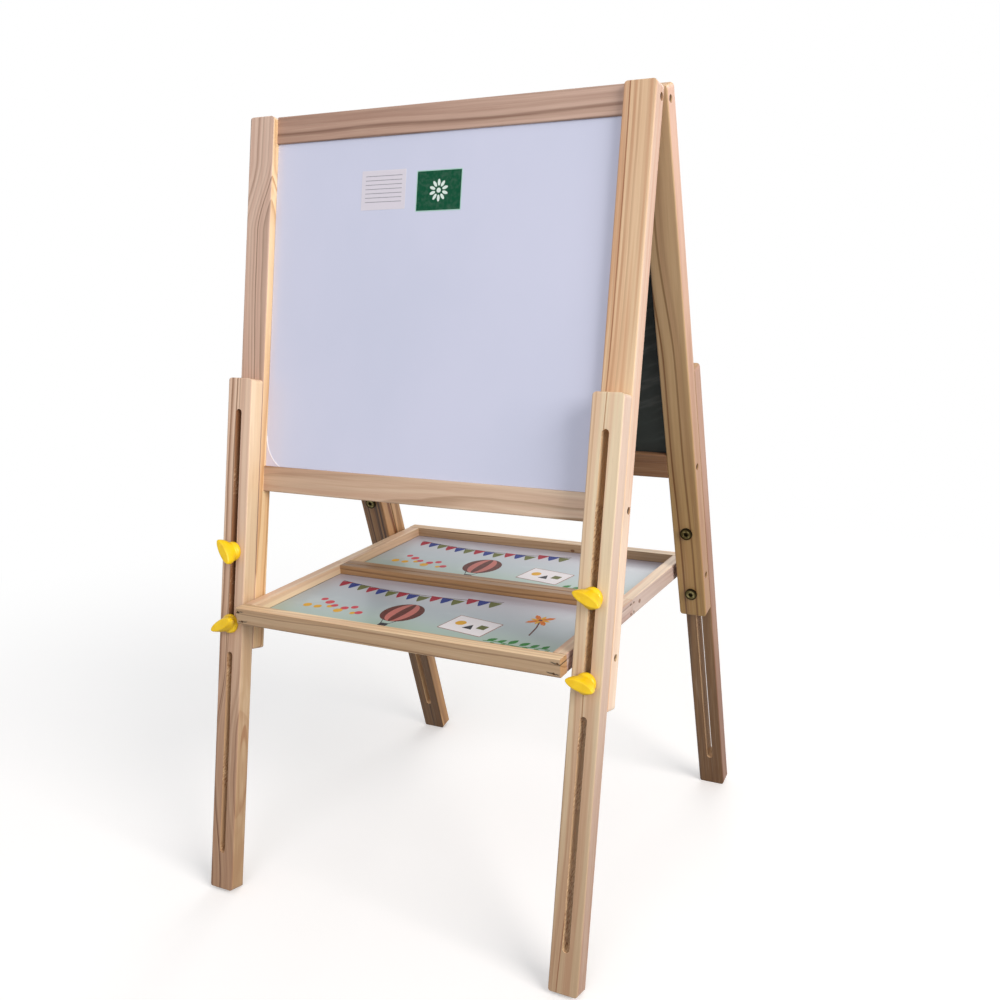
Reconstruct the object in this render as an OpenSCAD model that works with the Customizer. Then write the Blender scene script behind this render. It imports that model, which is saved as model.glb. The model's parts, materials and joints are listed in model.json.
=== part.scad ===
// Double-sided folding easel for a child: two leaning frames hinged at the top,
// a folding shelf that spreads them, and slotted legs that slide for height.
// Millimetres. X to the right, Y to the back, Z up from the floor.

/* [Frames] */
// Width over the stiles
frame_w = 500; // [440:5:560]
// Lean of each frame from the upright, in degrees
lean = 13.5; // [12:0.5:15]
// Length of a stile
stile_len = 620; // [600:5:660]
// Width of a stile or leg, seen from the front
stock_w = 35; // [32:1:42]
// Thickness of a stile or leg
stock_t = 20; // [18:1:24]
// Radius of the long edges of the stiles and legs
edge_r = 2; // [1:0.5:4]
// Radius of the stile and leg ends, seen from the front
end_r = 5.5; // [2:0.5:7]
// Radius of the stile and leg ends, seen from the side
tip_r = 1.5; // [0.5:0.5:3]

/* [Rails and boards] */
// Height of the top and lower rails
rail_w = 30; // [26:1:36]
// Thickness of the top and lower rails
rail_t = 13; // [12:1:16]
// Radius of the long edges of the rails
rail_r = 1.5; // [0.5:0.5:2.5]
// Distance from the stile top to the lower rail
lower_rail_s = 398; // [360:2:420]
// Thickness of the drawing boards
board_t = 3; // [2.5:0.5:4]
// Depth of a board's inner face behind the frame's inner face
board_set = 7; // [6:0.5:7.5]
// Depth of the grooves that hold the boards and the shelf panels
groove_d = 5; // [4:0.5:6]

/* [Legs and slots] */
// Length of a leg
leg_len = 620; // [600:5:660]
// Gap between a stile and its leg
leg_gap = 0.2; // [0.1:0.1:0.5]
// Width of the slots
slot_w = 8; // [7.5:0.5:10]
// Distance from the leg top to the upper slot
upper_slot_top = 36; // [30:1:50]
// Length of the upper slot
upper_slot_len = 257; // [240:1:264]
// Wood left between the two slots
slot_bridge = 31; // [25:1:40]
// Wood left below the lower slot
foot_wood = 46; // [34:1:90]

/* [Leg bolts and wing nuts] */
// Distance from a stile's foot up to the lower bolt
low_bolt_up = 32.5; // [30:0.5:35]
// Distance between the two bolts of a leg
bolt_pitch = 86.5; // [70:0.5:100]
// Diameter of the bolt
bolt_d = 6; // [5:0.5:6.5]
// Diameter of the bolt head
bolt_head_d = 15; // [12:1:18]
// Thickness of the bolt head
bolt_head_t = 3; // [2:0.5:4]
// Width across the flats of the bolt's hex socket
bolt_key = 5; // [3:0.5:5]
// Play of a bolt in its slot at the end of the leg's travel
slot_play = 0.5; // [0.5:0.5:2]
// Height of a wing nut
nut_h = 19; // [18:1:26]
// Span of a wing nut's wing
nut_span = 32; // [28:1:34]
// Span of the wing where it meets the collar
nut_foot_span = 22; // [18:1:24]
// Thickness of the wing at its middle
nut_t = 15.5; // [14:0.5:17]
// Diameter of the collar at the leg
collar_d = 22; // [19:1:24]
// Diameter of the collar at its outer end
collar_top_d = 19; // [16:0.5:20]
// Height of the collar
collar_h = 6; // [4:1:8]
// Gap between a wing nut and its leg
nut_gap = 0.3; // [0.1:0.1:0.5]
// Outer diameter of the threaded insert
insert_d = 9.5; // [8.5:0.5:10]
// Length of the threaded insert
insert_len = 13; // [10:1:15]
// Turn of each wing nut from level: front left, front right, rear left, rear right, upper then lower
nut_turns = [57, -31, -22, -15, 30, -55, 62, 76];

/* [Frame screws] */
// Diameter of the screws that hold the rails
frame_screw_d = 4; // [3:0.5:5]
// Length of the screws that hold the rails
frame_screw_len = 48; // [44:1:60]
// Diameter of the screw heads
screw_head_d = 7.5; // [7:0.5:9]
// Thickness of the screw heads
screw_head_t = 2.4; // [2:0.2:3]
// Depth of the holes that sink the screw heads
sink_d = 4; // [3:0.5:6]
// Radial clearance of a screw, bolt or head in its hole
hole_play = 0.15; // [0.1:0.05:0.3]

/* [Hinges] */
// Diameter of the hinge knuckles
knuckle_d = 6; // [5:0.5:6.5]
// Diameter of the hinge pins
pin_d = 3; // [2:0.5:3]
// Diameter of the pin heads
pin_head_d = 4.6; // [4:0.2:5]
// Thickness of the hinge leaves
leaf_t = 1.2; // [1:0.1:1.5]
// Gap between two knuckles
knuckle_gap = 0.3; // [0.2:0.1:0.5]
// Clearance of a knuckle over the wood beside a top hinge
top_knuckle_play = 1; // [0.8:0.1:1.5]
// Distance from the stile top to the top hinge axis
top_axis_s = 3; // [2:0.5:4]
// Distance of the top hinges from the middle
top_hinge_x = 130; // [90:5:150]
// Length of a top hinge
top_hinge_len = 50; // [40:1:60]
// Width of a top hinge leaf, from the axis
top_leaf_w = 22; // [20:1:24]
// Clearance of a knuckle over the wood beside a shelf hinge
mid_knuckle_play = 0.5; // [0.4:0.1:1]
// Distance of the shelf hinges from the middle
mid_hinge_x = 120; // [80:5:150]
// Length of a shelf hinge
mid_hinge_len = 44; // [38:1:50]
// Width of a shelf hinge leaf, from the axis
mid_leaf_w = 11; // [10.5:0.5:11.5]
// Diameter of the hinge screws
hinge_screw_d = 2.6; // [2:0.2:3]
// Diameter of the hinge screw heads
hinge_screw_head_d = 4.8; // [4.2:0.2:5.2]
// Length of the top hinge screws
top_screw_len = 9; // [7:0.5:10]
// Length of the shelf hinge screws
mid_screw_len = 5.5; // [4:0.5:6]

/* [Shelf] */
// Depth of the whole shelf, front to back
shelf_depth = 384; // [370:2:400]
// Height of the shelf rails
shelf_rail_h = 20; // [19:1:22]
// Thickness of the outer shelf rails
shelf_rail_t = 16; // [15:1:18]
// Thickness of each middle rail
mid_rail_t = 12; // [11.5:0.5:14]
// Gap between the two middle rails
mid_gap = 0.3; // [0.2:0.1:0.6]
// Radius of the shelf rails' edges
shelf_r = 1.2; // [0.5:0.1:2]
// Thickness of the shelf panels
panel_t = 3; // [2.5:0.5:4]
// Depth of the panels below the rail tops
panel_drop = 11.5; // [11:0.5:12]
// Distance from a stile's foot up to the shelf pivot
pivot_up = 57; // [54:1:60]
// Gap between a stile and the shelf
shelf_side_gap = 5; // [4:0.5:7]
// Diameter of the pivot screws
pivot_d = 5; // [4:0.5:5]
// Reach of a front pivot screw into the shelf's side rail
pivot_reach = 9.5; // [8:0.5:10]
// Outer diameter of the pivot spacers
spacer_d = 12; // [10:1:14]
// Gap between a spacer and the shelf
spacer_gap = 0.3; // [0.2:0.1:0.5]

/* [Shelf nails] */
// Diameter of the nails
nail_d = 1.6; // [1.2:0.2:2]
// Diameter of the nail heads
nail_head_d = 3; // [2.6:0.2:3.2]
// Thickness of the nail heads
nail_head_t = 0.8; // [0.6:0.1:1]
// Length of the nails
nail_len = 28; // [26:1:32]
// Height of the upper nails over the rail's middle
nail_rise = 5; // [4:0.5:6]
// Depth of the lower nails under the rail's middle
nail_fall = 6.4; // [6.2:0.1:6.6]
// Depth of the nail heads under the wood
nail_sink = 0.3; // [0.2:0.1:0.5]

/* [Hidden] */
$fn = 48;
LEFT = -1;
RIGHT = 1;
// overshoot of a cutting solid past the wood it cuts
over = 1;
// radial clearance of a running fit
run_play = 0.05;
// clearance of a board or panel in its groove, on each face and at the edge
groove_play = 0.2;

// stations across the width
half_w = frame_w / 2;
inner_x = half_w - stock_w;
stile_x = half_w - stock_w / 2;
shelf_half_w = inner_x - shelf_side_gap;

// stations along a leg and a stile, from the stile top
bolt_r = bolt_d / 2;
pivot_s = stile_len - pivot_up;
low_bolt_s = stile_len - low_bolt_up;
high_bolt_s = low_bolt_s - bolt_pitch;
leg_top_s = low_bolt_s + bolt_r + slot_play - upper_slot_top - upper_slot_len;
foot_s = leg_top_s + leg_len;
lower_slot_top = upper_slot_top + upper_slot_len + slot_bridge;
lower_slot_len = leg_len - lower_slot_top - foot_wood;
top_screw_s = rail_w * 0.45;
low_screw_s = lower_rail_s + rail_w / 2;

// stations through the thickness, from the frame's inner face outwards
leg_t = stock_t + leg_gap;
nut_t0 = leg_t + stock_t + nut_gap;
pivot_t = stock_t / 2;

// height of the stile tops, with the rounded toe of each foot on the floor
top_h = (foot_s - tip_r) * cos(lean) - (leg_t + tip_r) * sin(lean) + tip_r;

// hinge axes: the top axis lies midway between the frames, the shelf axis under the shelf
top_axis_off = knuckle_d / 2 + top_knuckle_play;
mid_axis_off = knuckle_d / 2 + mid_knuckle_play;
top_gap = 2 * (top_axis_off * cos(lean) - top_axis_s * sin(lean));
knuckle_play = 0.4;

// shelf pivots in the frame of the whole easel
pivot_y = top_gap / 2 + pivot_s * sin(lean) + pivot_t * cos(lean);
pivot_z = top_h - pivot_s * cos(lean) + pivot_t * sin(lean);
shelf_y = shelf_depth / 2;
panel_z = shelf_rail_h / 2 - panel_drop - panel_t / 2;
side_inner_x = shelf_half_w - shelf_rail_t;
nail_edge = 2.8;
nail_step = 4.6;

// ---- placing ----

// a front piece: origin at the stile top, Y from the outer face inwards, Z up along the stile
module on_front() {
    translate([0, -top_gap / 2, top_h]) rotate([-lean, 0, 0]) children();
}

module on_rear() {
    mirror([0, 1, 0]) on_front() children();
}

module on_front_shelf() {
    translate([0, 0, pivot_z]) children();
}

module on_rear_shelf() {
    mirror([0, 1, 0]) on_front_shelf() children();
}

// Z points from a frame's inner face out through a leg bolt
module at_bolt(side, s, t) {
    translate([side * stile_x, -t, -s]) rotate([90, 0, 0]) children();
}

// Z points inwards from the outer side of a stile
module at_side(side, s, t) {
    translate([side * half_w, -t, -s]) rotate([0, -side * 90, 0]) children();
}

// ---- profiles and stock ----

module rounded_rect(w, h, r) {
    square([w - 2 * r, h], center = true);
    square([w, h - 2 * r], center = true);
    for (x = [-1, 1], y = [-1, 1]) {
        translate([x * (w / 2 - r), y * (h / 2 - r)]) circle(r);
    }
}

// length of round-edged stock standing on Z, centred on the origin
module upright(w, t, l) {
    intersection() {
        linear_extrude(l, center = true) rounded_rect(w, t, edge_r);
        rotate([90, 0, 0]) linear_extrude(t, center = true) rounded_rect(w, l, end_r);
        rotate([90, 0, 90]) linear_extrude(w, center = true) rounded_rect(t, l, tip_r);
    }
}

// length of round-edged stock lying along X, t in Y and h in Z
module crossbar(l, t, h, r) {
    rotate([90, 0, 90]) linear_extrude(l, center = true) rounded_rect(t, h, r);
}

// ---- frames ----

// room for the board in the grooves; play is added on every side
module board_space(play) {
    z_top = -(rail_w - groove_d) + play;
    z_bottom = -(lower_rail_s + groove_d) - play;
    translate([0, -(board_set + board_t / 2), (z_top + z_bottom) / 2]) {
        cube([2 * (inner_x + groove_d + play), board_t + 2 * play, z_top - z_bottom], center = true);
    }
}

module bolt_hole(side, s) {
    at_bolt(side, s, -over) cylinder(d = bolt_d + 2 * hole_play, h = stock_t + 2 * over);
}

// a sunk hole for a screw that crosses the stile and reaches into the wood beyond
module cross_hole(side, s, t, d, depth) {
    at_side(side, s, t) {
        translate([0, 0, -over]) cylinder(d = screw_head_d + 2 * hole_play, h = sink_d + over);
        cylinder(d = d + 2 * hole_play, h = depth);
    }
}

module frame_screw_holes(side) {
    depth = sink_d + frame_screw_len + groove_play;
    cross_hole(side, top_screw_s, rail_t / 2, frame_screw_d, depth);
    cross_hole(side, low_screw_s, rail_t / 2, frame_screw_d, depth);
}

module stile(side) {
    difference() {
        translate([side * stile_x, -stock_t / 2, -stile_len / 2]) upright(stock_w, stock_t, stile_len);
        board_space(groove_play);
        frame_screw_holes(side);
        bolt_hole(side, high_bolt_s);
        bolt_hole(side, low_bolt_s);
        cross_hole(side, pivot_s, pivot_t, pivot_d, stock_w + over);
    }
}

module frame_rail(s) {
    translate([0, -rail_t / 2, -s - rail_w / 2]) crossbar(2 * inner_x, rail_t, rail_w, rail_r);
}

module top_rail() {
    difference() {
        frame_rail(0);
        board_space(groove_play);
        frame_screw_holes(LEFT);
        frame_screw_holes(RIGHT);
        top_hinges() screw_set(top_holes, hinge_screw_d / 2 + run_play, top_screw_len + groove_play);
    }
}

module lower_rail() {
    difference() {
        frame_rail(lower_rail_s);
        board_space(groove_play);
        frame_screw_holes(LEFT);
        frame_screw_holes(RIGHT);
    }
}

module board() {
    board_space(0);
}

// ---- legs ----

// slot that starts at a distance from the leg top
module slot(start, l) {
    for (s = [start + slot_w / 2, start + l - slot_w / 2]) {
        translate([0, 0, -s]) rotate([90, 0, 0]) cylinder(d = slot_w, h = stock_t + 2 * over, center = true);
    }
    translate([0, 0, -start - l / 2]) cube([slot_w, stock_t + 2 * over, l - slot_w], center = true);
}

module leg(side) {
    translate([side * stile_x, -leg_t - stock_t / 2, -leg_top_s]) difference() {
        translate([0, 0, -leg_len / 2]) upright(stock_w, stock_t, leg_len);
        slot(upper_slot_top, upper_slot_len);
        slot(lower_slot_top, lower_slot_len);
    }
}

// ---- leg bolts, wing nuts and inserts ----

// bolt with its head on the frame's inner face and its shank in the nut's insert
module bolt(side, s) {
    at_bolt(side, s, 0) difference() {
        union() {
            translate([0, 0, -bolt_head_t]) cylinder(d = bolt_head_d, h = bolt_head_t);
            cylinder(d = bolt_d, h = nut_t0 + insert_len - over);
        }
        translate([0, 0, -bolt_head_t - over]) {
            cylinder(d = bolt_key / cos(30), h = bolt_head_t, $fn = 6);
        }
    }
}

module bolts() {
    for (side = [LEFT, RIGHT], s = [high_bolt_s, low_bolt_s]) {
        bolt(side, s);
    }
}

// lens outline of a wing: two arcs that meet at the wing's ends
module lens(span, t) {
    arc_r = (span * span + t * t) / (4 * t);
    intersection_for (y = [-1, 1]) {
        translate([0, y * (arc_r - t / 2)]) circle(arc_r, $fn = 96);
    }
}

// widening outline of a wing, from the collar up
module wing_side() {
    lip = nut_h * 0.2;
    polygon([
        [-nut_foot_span / 2, 0], [nut_foot_span / 2, 0],
        [nut_span / 2, nut_h - 2 * lip], [nut_span / 2, nut_h - lip], [nut_span / 2 - lip, nut_h],
        [-nut_span / 2 + lip, nut_h], [-nut_span / 2, nut_h - lip], [-nut_span / 2, nut_h - 2 * lip]]);
}

module nut(side, s, turn) {
    at_bolt(side, s, nut_t0) rotate([0, 0, side * turn]) difference() {
        union() {
            cylinder(d1 = collar_d, d2 = collar_top_d, h = collar_h);
            intersection() {
                linear_extrude(nut_h) lens(nut_span, nut_t);
                rotate([90, 0, 0]) linear_extrude(nut_t + over, center = true) wing_side();
            }
        }
        translate([0, 0, -over]) cylinder(d = insert_d + 2 * run_play, h = insert_len + groove_play + over);
    }
}

module insert(side, s) {
    at_bolt(side, s, nut_t0) difference() {
        cylinder(d = insert_d, h = insert_len);
        translate([0, 0, -over]) cylinder(d = bolt_d + 2 * run_play, h = insert_len + 2 * over);
    }
}

// ---- screws ----

// screw along Z with a flat head that bears at Z = 0 and a hex socket
module flat_screw(d, l) {
    difference() {
        union() {
            translate([0, 0, -screw_head_t]) cylinder(d = screw_head_d, h = screw_head_t);
            cylinder(d = d, h = l - d);
            translate([0, 0, l - d]) cylinder(d1 = d, d2 = d / 4, h = d);
        }
        translate([0, 0, -screw_head_t - over]) cylinder(d = screw_head_d / 2, h = 1.5 + over, $fn = 6);
    }
}

module frame_screws() {
    for (side = [LEFT, RIGHT], s = [top_screw_s, low_screw_s]) {
        at_side(side, s, rail_t / 2) translate([0, 0, sink_d]) flat_screw(frame_screw_d, frame_screw_len);
    }
}

// shelf pivot screws; the front pair reaches into the shelf, the rear pair ends in its spacers
module pivot_screws(l) {
    for (side = [LEFT, RIGHT]) {
        at_side(side, pivot_s, pivot_t) translate([0, 0, sink_d]) difference() {
            union() {
                translate([0, 0, -screw_head_t]) cylinder(d = screw_head_d, h = screw_head_t);
                cylinder(d = pivot_d, h = l - sink_d);
            }
            translate([0, 0, -screw_head_t - over]) cylinder(d = screw_head_d / 2, h = 1.5 + over, $fn = 6);
        }
    }
}

module pivot_spacers() {
    spacer_len = shelf_side_gap - spacer_gap;
    for (side = [LEFT, RIGHT]) {
        at_side(side, pivot_s, pivot_t) translate([0, 0, stock_w]) difference() {
            cylinder(d = spacer_d, h = spacer_len);
            translate([0, 0, -over]) cylinder(d = pivot_d + 2 * hole_play, h = spacer_len + 2 * over);
        }
    }
}

// ---- butt hinges ----

// screw places on a leaf, along the hinge and below its axis
top_holes = [[-top_hinge_len * 0.34, 16], [0, 11], [top_hinge_len * 0.34, 16]];
mid_holes = [[-mid_hinge_len * 0.32, 7.4], [mid_hinge_len * 0.32, 7.4]];

module top_hinges() {
    for (x = [-top_hinge_x, top_hinge_x]) {
        translate([x, 0, -top_axis_s]) children();
    }
}

module mid_hinges() {
    for (x = [-mid_hinge_x, mid_hinge_x]) {
        translate([x, 0, -shelf_rail_h / 2]) rotate([-90, 0, 0]) children();
    }
}

// plain cylinders into the wood at each screw place; Y is 0 at the wood
module screw_set(holes, r, depth) {
    for (h = holes) {
        translate([h[0], 0, -h[1]]) rotate([90, 0, 0]) cylinder(r = r, h = depth);
    }
}

// countersink of a leaf at each screw place, wider by play
module head_set(holes, play) {
    for (h = holes) {
        translate([h[0], leaf_t, -h[1]]) rotate([90, 0, 0]) {
            cylinder(d1 = hinge_screw_head_d + 2 * play, d2 = hinge_screw_d + 2 * play, h = leaf_t);
        }
    }
}

module hinge_screws(holes, l) {
    head_set(holes, 0);
    screw_set(holes, hinge_screw_d / 2, l - leaf_t);
}

// a run of the knuckle and of its web to the leaf, from x0 to x1
module barrel(x0, x1, off) {
    translate([(x0 + x1) / 2, off, 0]) {
        rotate([0, 90, 0]) cylinder(d = knuckle_d, h = x1 - x0, center = true);
        translate([0, -off / 2, 0]) cube([x1 - x0, off, leaf_t], center = true);
    }
    translate([(x0 + x1) / 2, leaf_t / 2, -knuckle_d / 2]) cube([x1 - x0, leaf_t, knuckle_d], center = true);
}

// hinge leaf on the wood at Y = 0, its axis at Y = off; outer picks the two end knuckles
module leaf(l, w, off, outer, holes) {
    run = (l - 2 * knuckle_gap) / 3;
    plate_top = knuckle_d / 2 + knuckle_play;
    difference() {
        union() {
            if (outer) {
                barrel(-l / 2, -l / 2 + run, off);
                barrel(l / 2 - run, l / 2, off);
            } else {
                barrel(-run / 2, run / 2, off);
            }
            translate([-l / 2, 0, -w]) cube([l, leaf_t, w - plate_top]);
        }
        translate([0, off, 0]) rotate([0, 90, 0]) {
            cylinder(d = pin_d + 2 * run_play, h = l + over, center = true);
        }
        head_set(holes, hole_play);
    }
}

module hinge_pin(l, off) {
    translate([0, off, 0]) rotate([0, 90, 0]) {
        cylinder(d = pin_d, h = l + 2 * run_play, center = true);
        for (side = [LEFT, RIGHT]) {
            translate([0, 0, side * (l / 2 + run_play + leaf_t / 2)]) {
                cylinder(d = pin_head_d, h = leaf_t, center = true);
            }
        }
    }
}

// ---- shelf ----

// room for a panel in the grooves; play is added on every side
module panel_space(play) {
    y_front = -shelf_y + shelf_rail_t - groove_d - play;
    y_back = -mid_gap / 2 - mid_rail_t + groove_d + play;
    translate([0, (y_front + y_back) / 2, panel_z]) {
        cube([2 * (side_inner_x + groove_d + play), y_back - y_front, panel_t + 2 * play], center = true);
    }
}

// nail along Z with its head under the wood at Z = 0
module nail(play) {
    translate([0, 0, nail_sink - play]) cylinder(d = nail_d + 2 * play, h = nail_len + 2 * play);
    translate([0, 0, play > 0 ? -over : nail_sink]) {
        cylinder(d = nail_head_d + 2 * play, h = nail_head_t + (play > 0 ? nail_sink + over : 0));
    }
}

// two nails in each corner of a shelf half
module nails(play) {
    for (side = [LEFT, RIGHT]) {
        front_x = [shelf_half_w - nail_edge, shelf_half_w - nail_edge - nail_step];
        for (i = [0, 1]) {
            z = i == 0 ? nail_rise : -nail_fall;
            translate([side * front_x[i], -shelf_y, z]) rotate([-90, 0, 0]) nail(play);
            translate([side * shelf_half_w, -mid_gap / 2 - mid_rail_t / 2 + nail_d, z]) {
                rotate([0, -side * 90, 0]) nail(play);
            }
        }
    }
}

module shelf_end_rail() {
    difference() {
        translate([0, -shelf_y + shelf_rail_t / 2, 0]) {
            crossbar(2 * shelf_half_w, shelf_rail_t, shelf_rail_h, shelf_r);
        }
        panel_space(groove_play);
        nails(hole_play);
    }
}

module shelf_mid_rail() {
    difference() {
        translate([0, -mid_gap / 2 - mid_rail_t / 2, 0]) {
            crossbar(2 * side_inner_x, mid_rail_t, shelf_rail_h, shelf_r);
        }
        panel_space(groove_play);
        nails(hole_play);
        mid_hinges() screw_set(mid_holes, hinge_screw_d / 2 + run_play, mid_screw_len + groove_play);
    }
}

module shelf_side(side) {
    l = shelf_y - shelf_rail_t - mid_gap / 2;
    difference() {
        translate([side * (shelf_half_w - shelf_rail_t / 2), -mid_gap / 2 - l / 2, 0]) rotate([0, 0, 90]) {
            crossbar(l, shelf_rail_t, shelf_rail_h, shelf_r);
        }
        panel_space(groove_play);
        nails(hole_play);
        translate([side * (shelf_half_w + over), -pivot_y, 0]) rotate([0, -side * 90, 0]) {
            cylinder(d = pivot_d + 2 * run_play, h = pivot_reach + over + groove_play);
        }
    }
}

module shelf_panel() {
    panel_space(0);
}

// ---- nodes ----

module front_stile_left() { color("burlywood") on_front() stile(LEFT); }
module front_stile_right() { color("burlywood") on_front() stile(RIGHT); }
module front_top_rail() { color("tan") on_front() top_rail(); }
module front_lower_rail() { color("tan") on_front() lower_rail(); }
module white_board() { color("white") on_front() board(); }
module rear_stile_left() { color("burlywood") on_rear() stile(LEFT); }
module rear_stile_right() { color("burlywood") on_rear() stile(RIGHT); }
module rear_top_rail() { color("tan") on_rear() top_rail(); }
module rear_lower_rail() { color("tan") on_rear() lower_rail(); }
module chalk_board() { color("dimgray") on_rear() board(); }
module front_leg_left() { color("wheat") on_front() leg(LEFT); }
module front_leg_right() { color("wheat") on_front() leg(RIGHT); }
module rear_leg_left() { color("wheat") on_rear() leg(LEFT); }
module rear_leg_right() { color("wheat") on_rear() leg(RIGHT); }
module front_bolts() { color("darkgoldenrod") on_front() bolts(); }
module rear_bolts() { color("darkgoldenrod") on_rear() bolts(); }
module front_frame_screws() { color("gray") on_front() frame_screws(); }
module rear_frame_screws() { color("gray") on_rear() frame_screws(); }
module nut_front_left_upper() { color("gold") on_front() nut(LEFT, high_bolt_s, nut_turns[0]); }
module nut_front_left_lower() { color("gold") on_front() nut(LEFT, low_bolt_s, nut_turns[1]); }
module nut_front_right_upper() { color("gold") on_front() nut(RIGHT, high_bolt_s, nut_turns[2]); }
module nut_front_right_lower() { color("gold") on_front() nut(RIGHT, low_bolt_s, nut_turns[3]); }
module nut_rear_left_upper() { color("gold") on_rear() nut(LEFT, high_bolt_s, nut_turns[4]); }
module nut_rear_left_lower() { color("gold") on_rear() nut(LEFT, low_bolt_s, nut_turns[5]); }
module nut_rear_right_upper() { color("gold") on_rear() nut(RIGHT, high_bolt_s, nut_turns[6]); }
module nut_rear_right_lower() { color("gold") on_rear() nut(RIGHT, low_bolt_s, nut_turns[7]); }
module insert_front_left_upper() { color("silver") on_front() insert(LEFT, high_bolt_s); }
module insert_front_left_lower() { color("silver") on_front() insert(LEFT, low_bolt_s); }
module insert_front_right_upper() { color("silver") on_front() insert(RIGHT, high_bolt_s); }
module insert_front_right_lower() { color("silver") on_front() insert(RIGHT, low_bolt_s); }
module insert_rear_left_upper() { color("silver") on_rear() insert(LEFT, high_bolt_s); }
module insert_rear_left_lower() { color("silver") on_rear() insert(LEFT, low_bolt_s); }
module insert_rear_right_upper() { color("silver") on_rear() insert(RIGHT, high_bolt_s); }
module insert_rear_right_lower() { color("silver") on_rear() insert(RIGHT, low_bolt_s); }
module top_hinge_leaves_front() {
    color("silver") on_front() top_hinges() {
        leaf(top_hinge_len, top_leaf_w, top_axis_off, true, top_holes);
    }
}
module top_hinge_leaves_rear() {
    color("lightgray") on_rear() top_hinges() {
        leaf(top_hinge_len, top_leaf_w, top_axis_off, false, top_holes);
    }
}
module top_hinge_pins() {
    color("gray") on_front() top_hinges() hinge_pin(top_hinge_len, top_axis_off);
}
module top_hinge_screws_front() {
    color("dimgray") on_front() top_hinges() hinge_screws(top_holes, top_screw_len);
}
module top_hinge_screws_rear() {
    color("dimgray") on_rear() top_hinges() hinge_screws(top_holes, top_screw_len);
}
module shelf_front_rail() { color("tan") on_front_shelf() shelf_end_rail(); }
module shelf_front_mid_rail() { color("tan") on_front_shelf() shelf_mid_rail(); }
module shelf_front_side_left() { color("burlywood") on_front_shelf() shelf_side(LEFT); }
module shelf_front_side_right() { color("burlywood") on_front_shelf() shelf_side(RIGHT); }
module shelf_front_panel() { color("paleturquoise") on_front_shelf() shelf_panel(); }
module shelf_front_nails() { color("dimgray") on_front_shelf() nails(0); }
module shelf_rear_rail() { color("tan") on_rear_shelf() shelf_end_rail(); }
module shelf_rear_mid_rail() { color("tan") on_rear_shelf() shelf_mid_rail(); }
module shelf_rear_side_left() { color("burlywood") on_rear_shelf() shelf_side(LEFT); }
module shelf_rear_side_right() { color("burlywood") on_rear_shelf() shelf_side(RIGHT); }
module shelf_rear_panel() { color("paleturquoise") on_rear_shelf() shelf_panel(); }
module shelf_rear_nails() { color("dimgray") on_rear_shelf() nails(0); }
module mid_hinge_leaves_front() {
    color("silver") on_front_shelf() mid_hinges() {
        leaf(mid_hinge_len, mid_leaf_w, mid_axis_off, true, mid_holes);
    }
}
module mid_hinge_leaves_rear() {
    color("lightgray") on_rear_shelf() mid_hinges() {
        leaf(mid_hinge_len, mid_leaf_w, mid_axis_off, false, mid_holes);
    }
}
module mid_hinge_pins() {
    color("gray") on_front_shelf() mid_hinges() hinge_pin(mid_hinge_len, mid_axis_off);
}
module mid_hinge_screws_front() {
    color("dimgray") on_front_shelf() mid_hinges() hinge_screws(mid_holes, mid_screw_len);
}
module mid_hinge_screws_rear() {
    color("dimgray") on_rear_shelf() mid_hinges() hinge_screws(mid_holes, mid_screw_len);
}
module front_pivot_screws() {
    color("gray") on_front() pivot_screws(stock_w + shelf_side_gap + pivot_reach);
}
module rear_pivot_screws() {
    color("gray") on_rear() pivot_screws(stock_w + shelf_side_gap - 2 * spacer_gap);
}
module front_pivot_spacers() { color("white") on_front() pivot_spacers(); }
module rear_pivot_spacers() { color("white") on_rear() pivot_spacers(); }

front_stile_left();
front_stile_right();
front_top_rail();
front_lower_rail();
white_board();
rear_stile_left();
rear_stile_right();
rear_top_rail();
rear_lower_rail();
chalk_board();
front_leg_left();
front_leg_right();
rear_leg_left();
rear_leg_right();
front_bolts();
rear_bolts();
front_frame_screws();
rear_frame_screws();
nut_front_left_upper();
nut_front_left_lower();
nut_front_right_upper();
nut_front_right_lower();
nut_rear_left_upper();
nut_rear_left_lower();
nut_rear_right_upper();
nut_rear_right_lower();
insert_front_left_upper();
insert_front_left_lower();
insert_front_right_upper();
insert_front_right_lower();
insert_rear_left_upper();
insert_rear_left_lower();
insert_rear_right_upper();
insert_rear_right_lower();
top_hinge_leaves_front();
top_hinge_leaves_rear();
top_hinge_pins();
top_hinge_screws_front();
top_hinge_screws_rear();
shelf_front_rail();
shelf_front_mid_rail();
shelf_front_side_left();
shelf_front_side_right();
shelf_front_panel();
shelf_front_nails();
shelf_rear_rail();
shelf_rear_mid_rail();
shelf_rear_side_left();
shelf_rear_side_right();
shelf_rear_panel();
shelf_rear_nails();
mid_hinge_leaves_front();
mid_hinge_leaves_rear();
mid_hinge_pins();
mid_hinge_screws_front();
mid_hinge_screws_rear();
front_pivot_screws();
rear_pivot_screws();
front_pivot_spacers();
rear_pivot_spacers();
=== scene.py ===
import json
import logging
import math
from dataclasses import dataclass, field
from enum import Enum
from typing import Callable, Iterable, Optional, Sequence, Union

import bmesh
import bpy
from mathutils import Matrix, Vector


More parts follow.
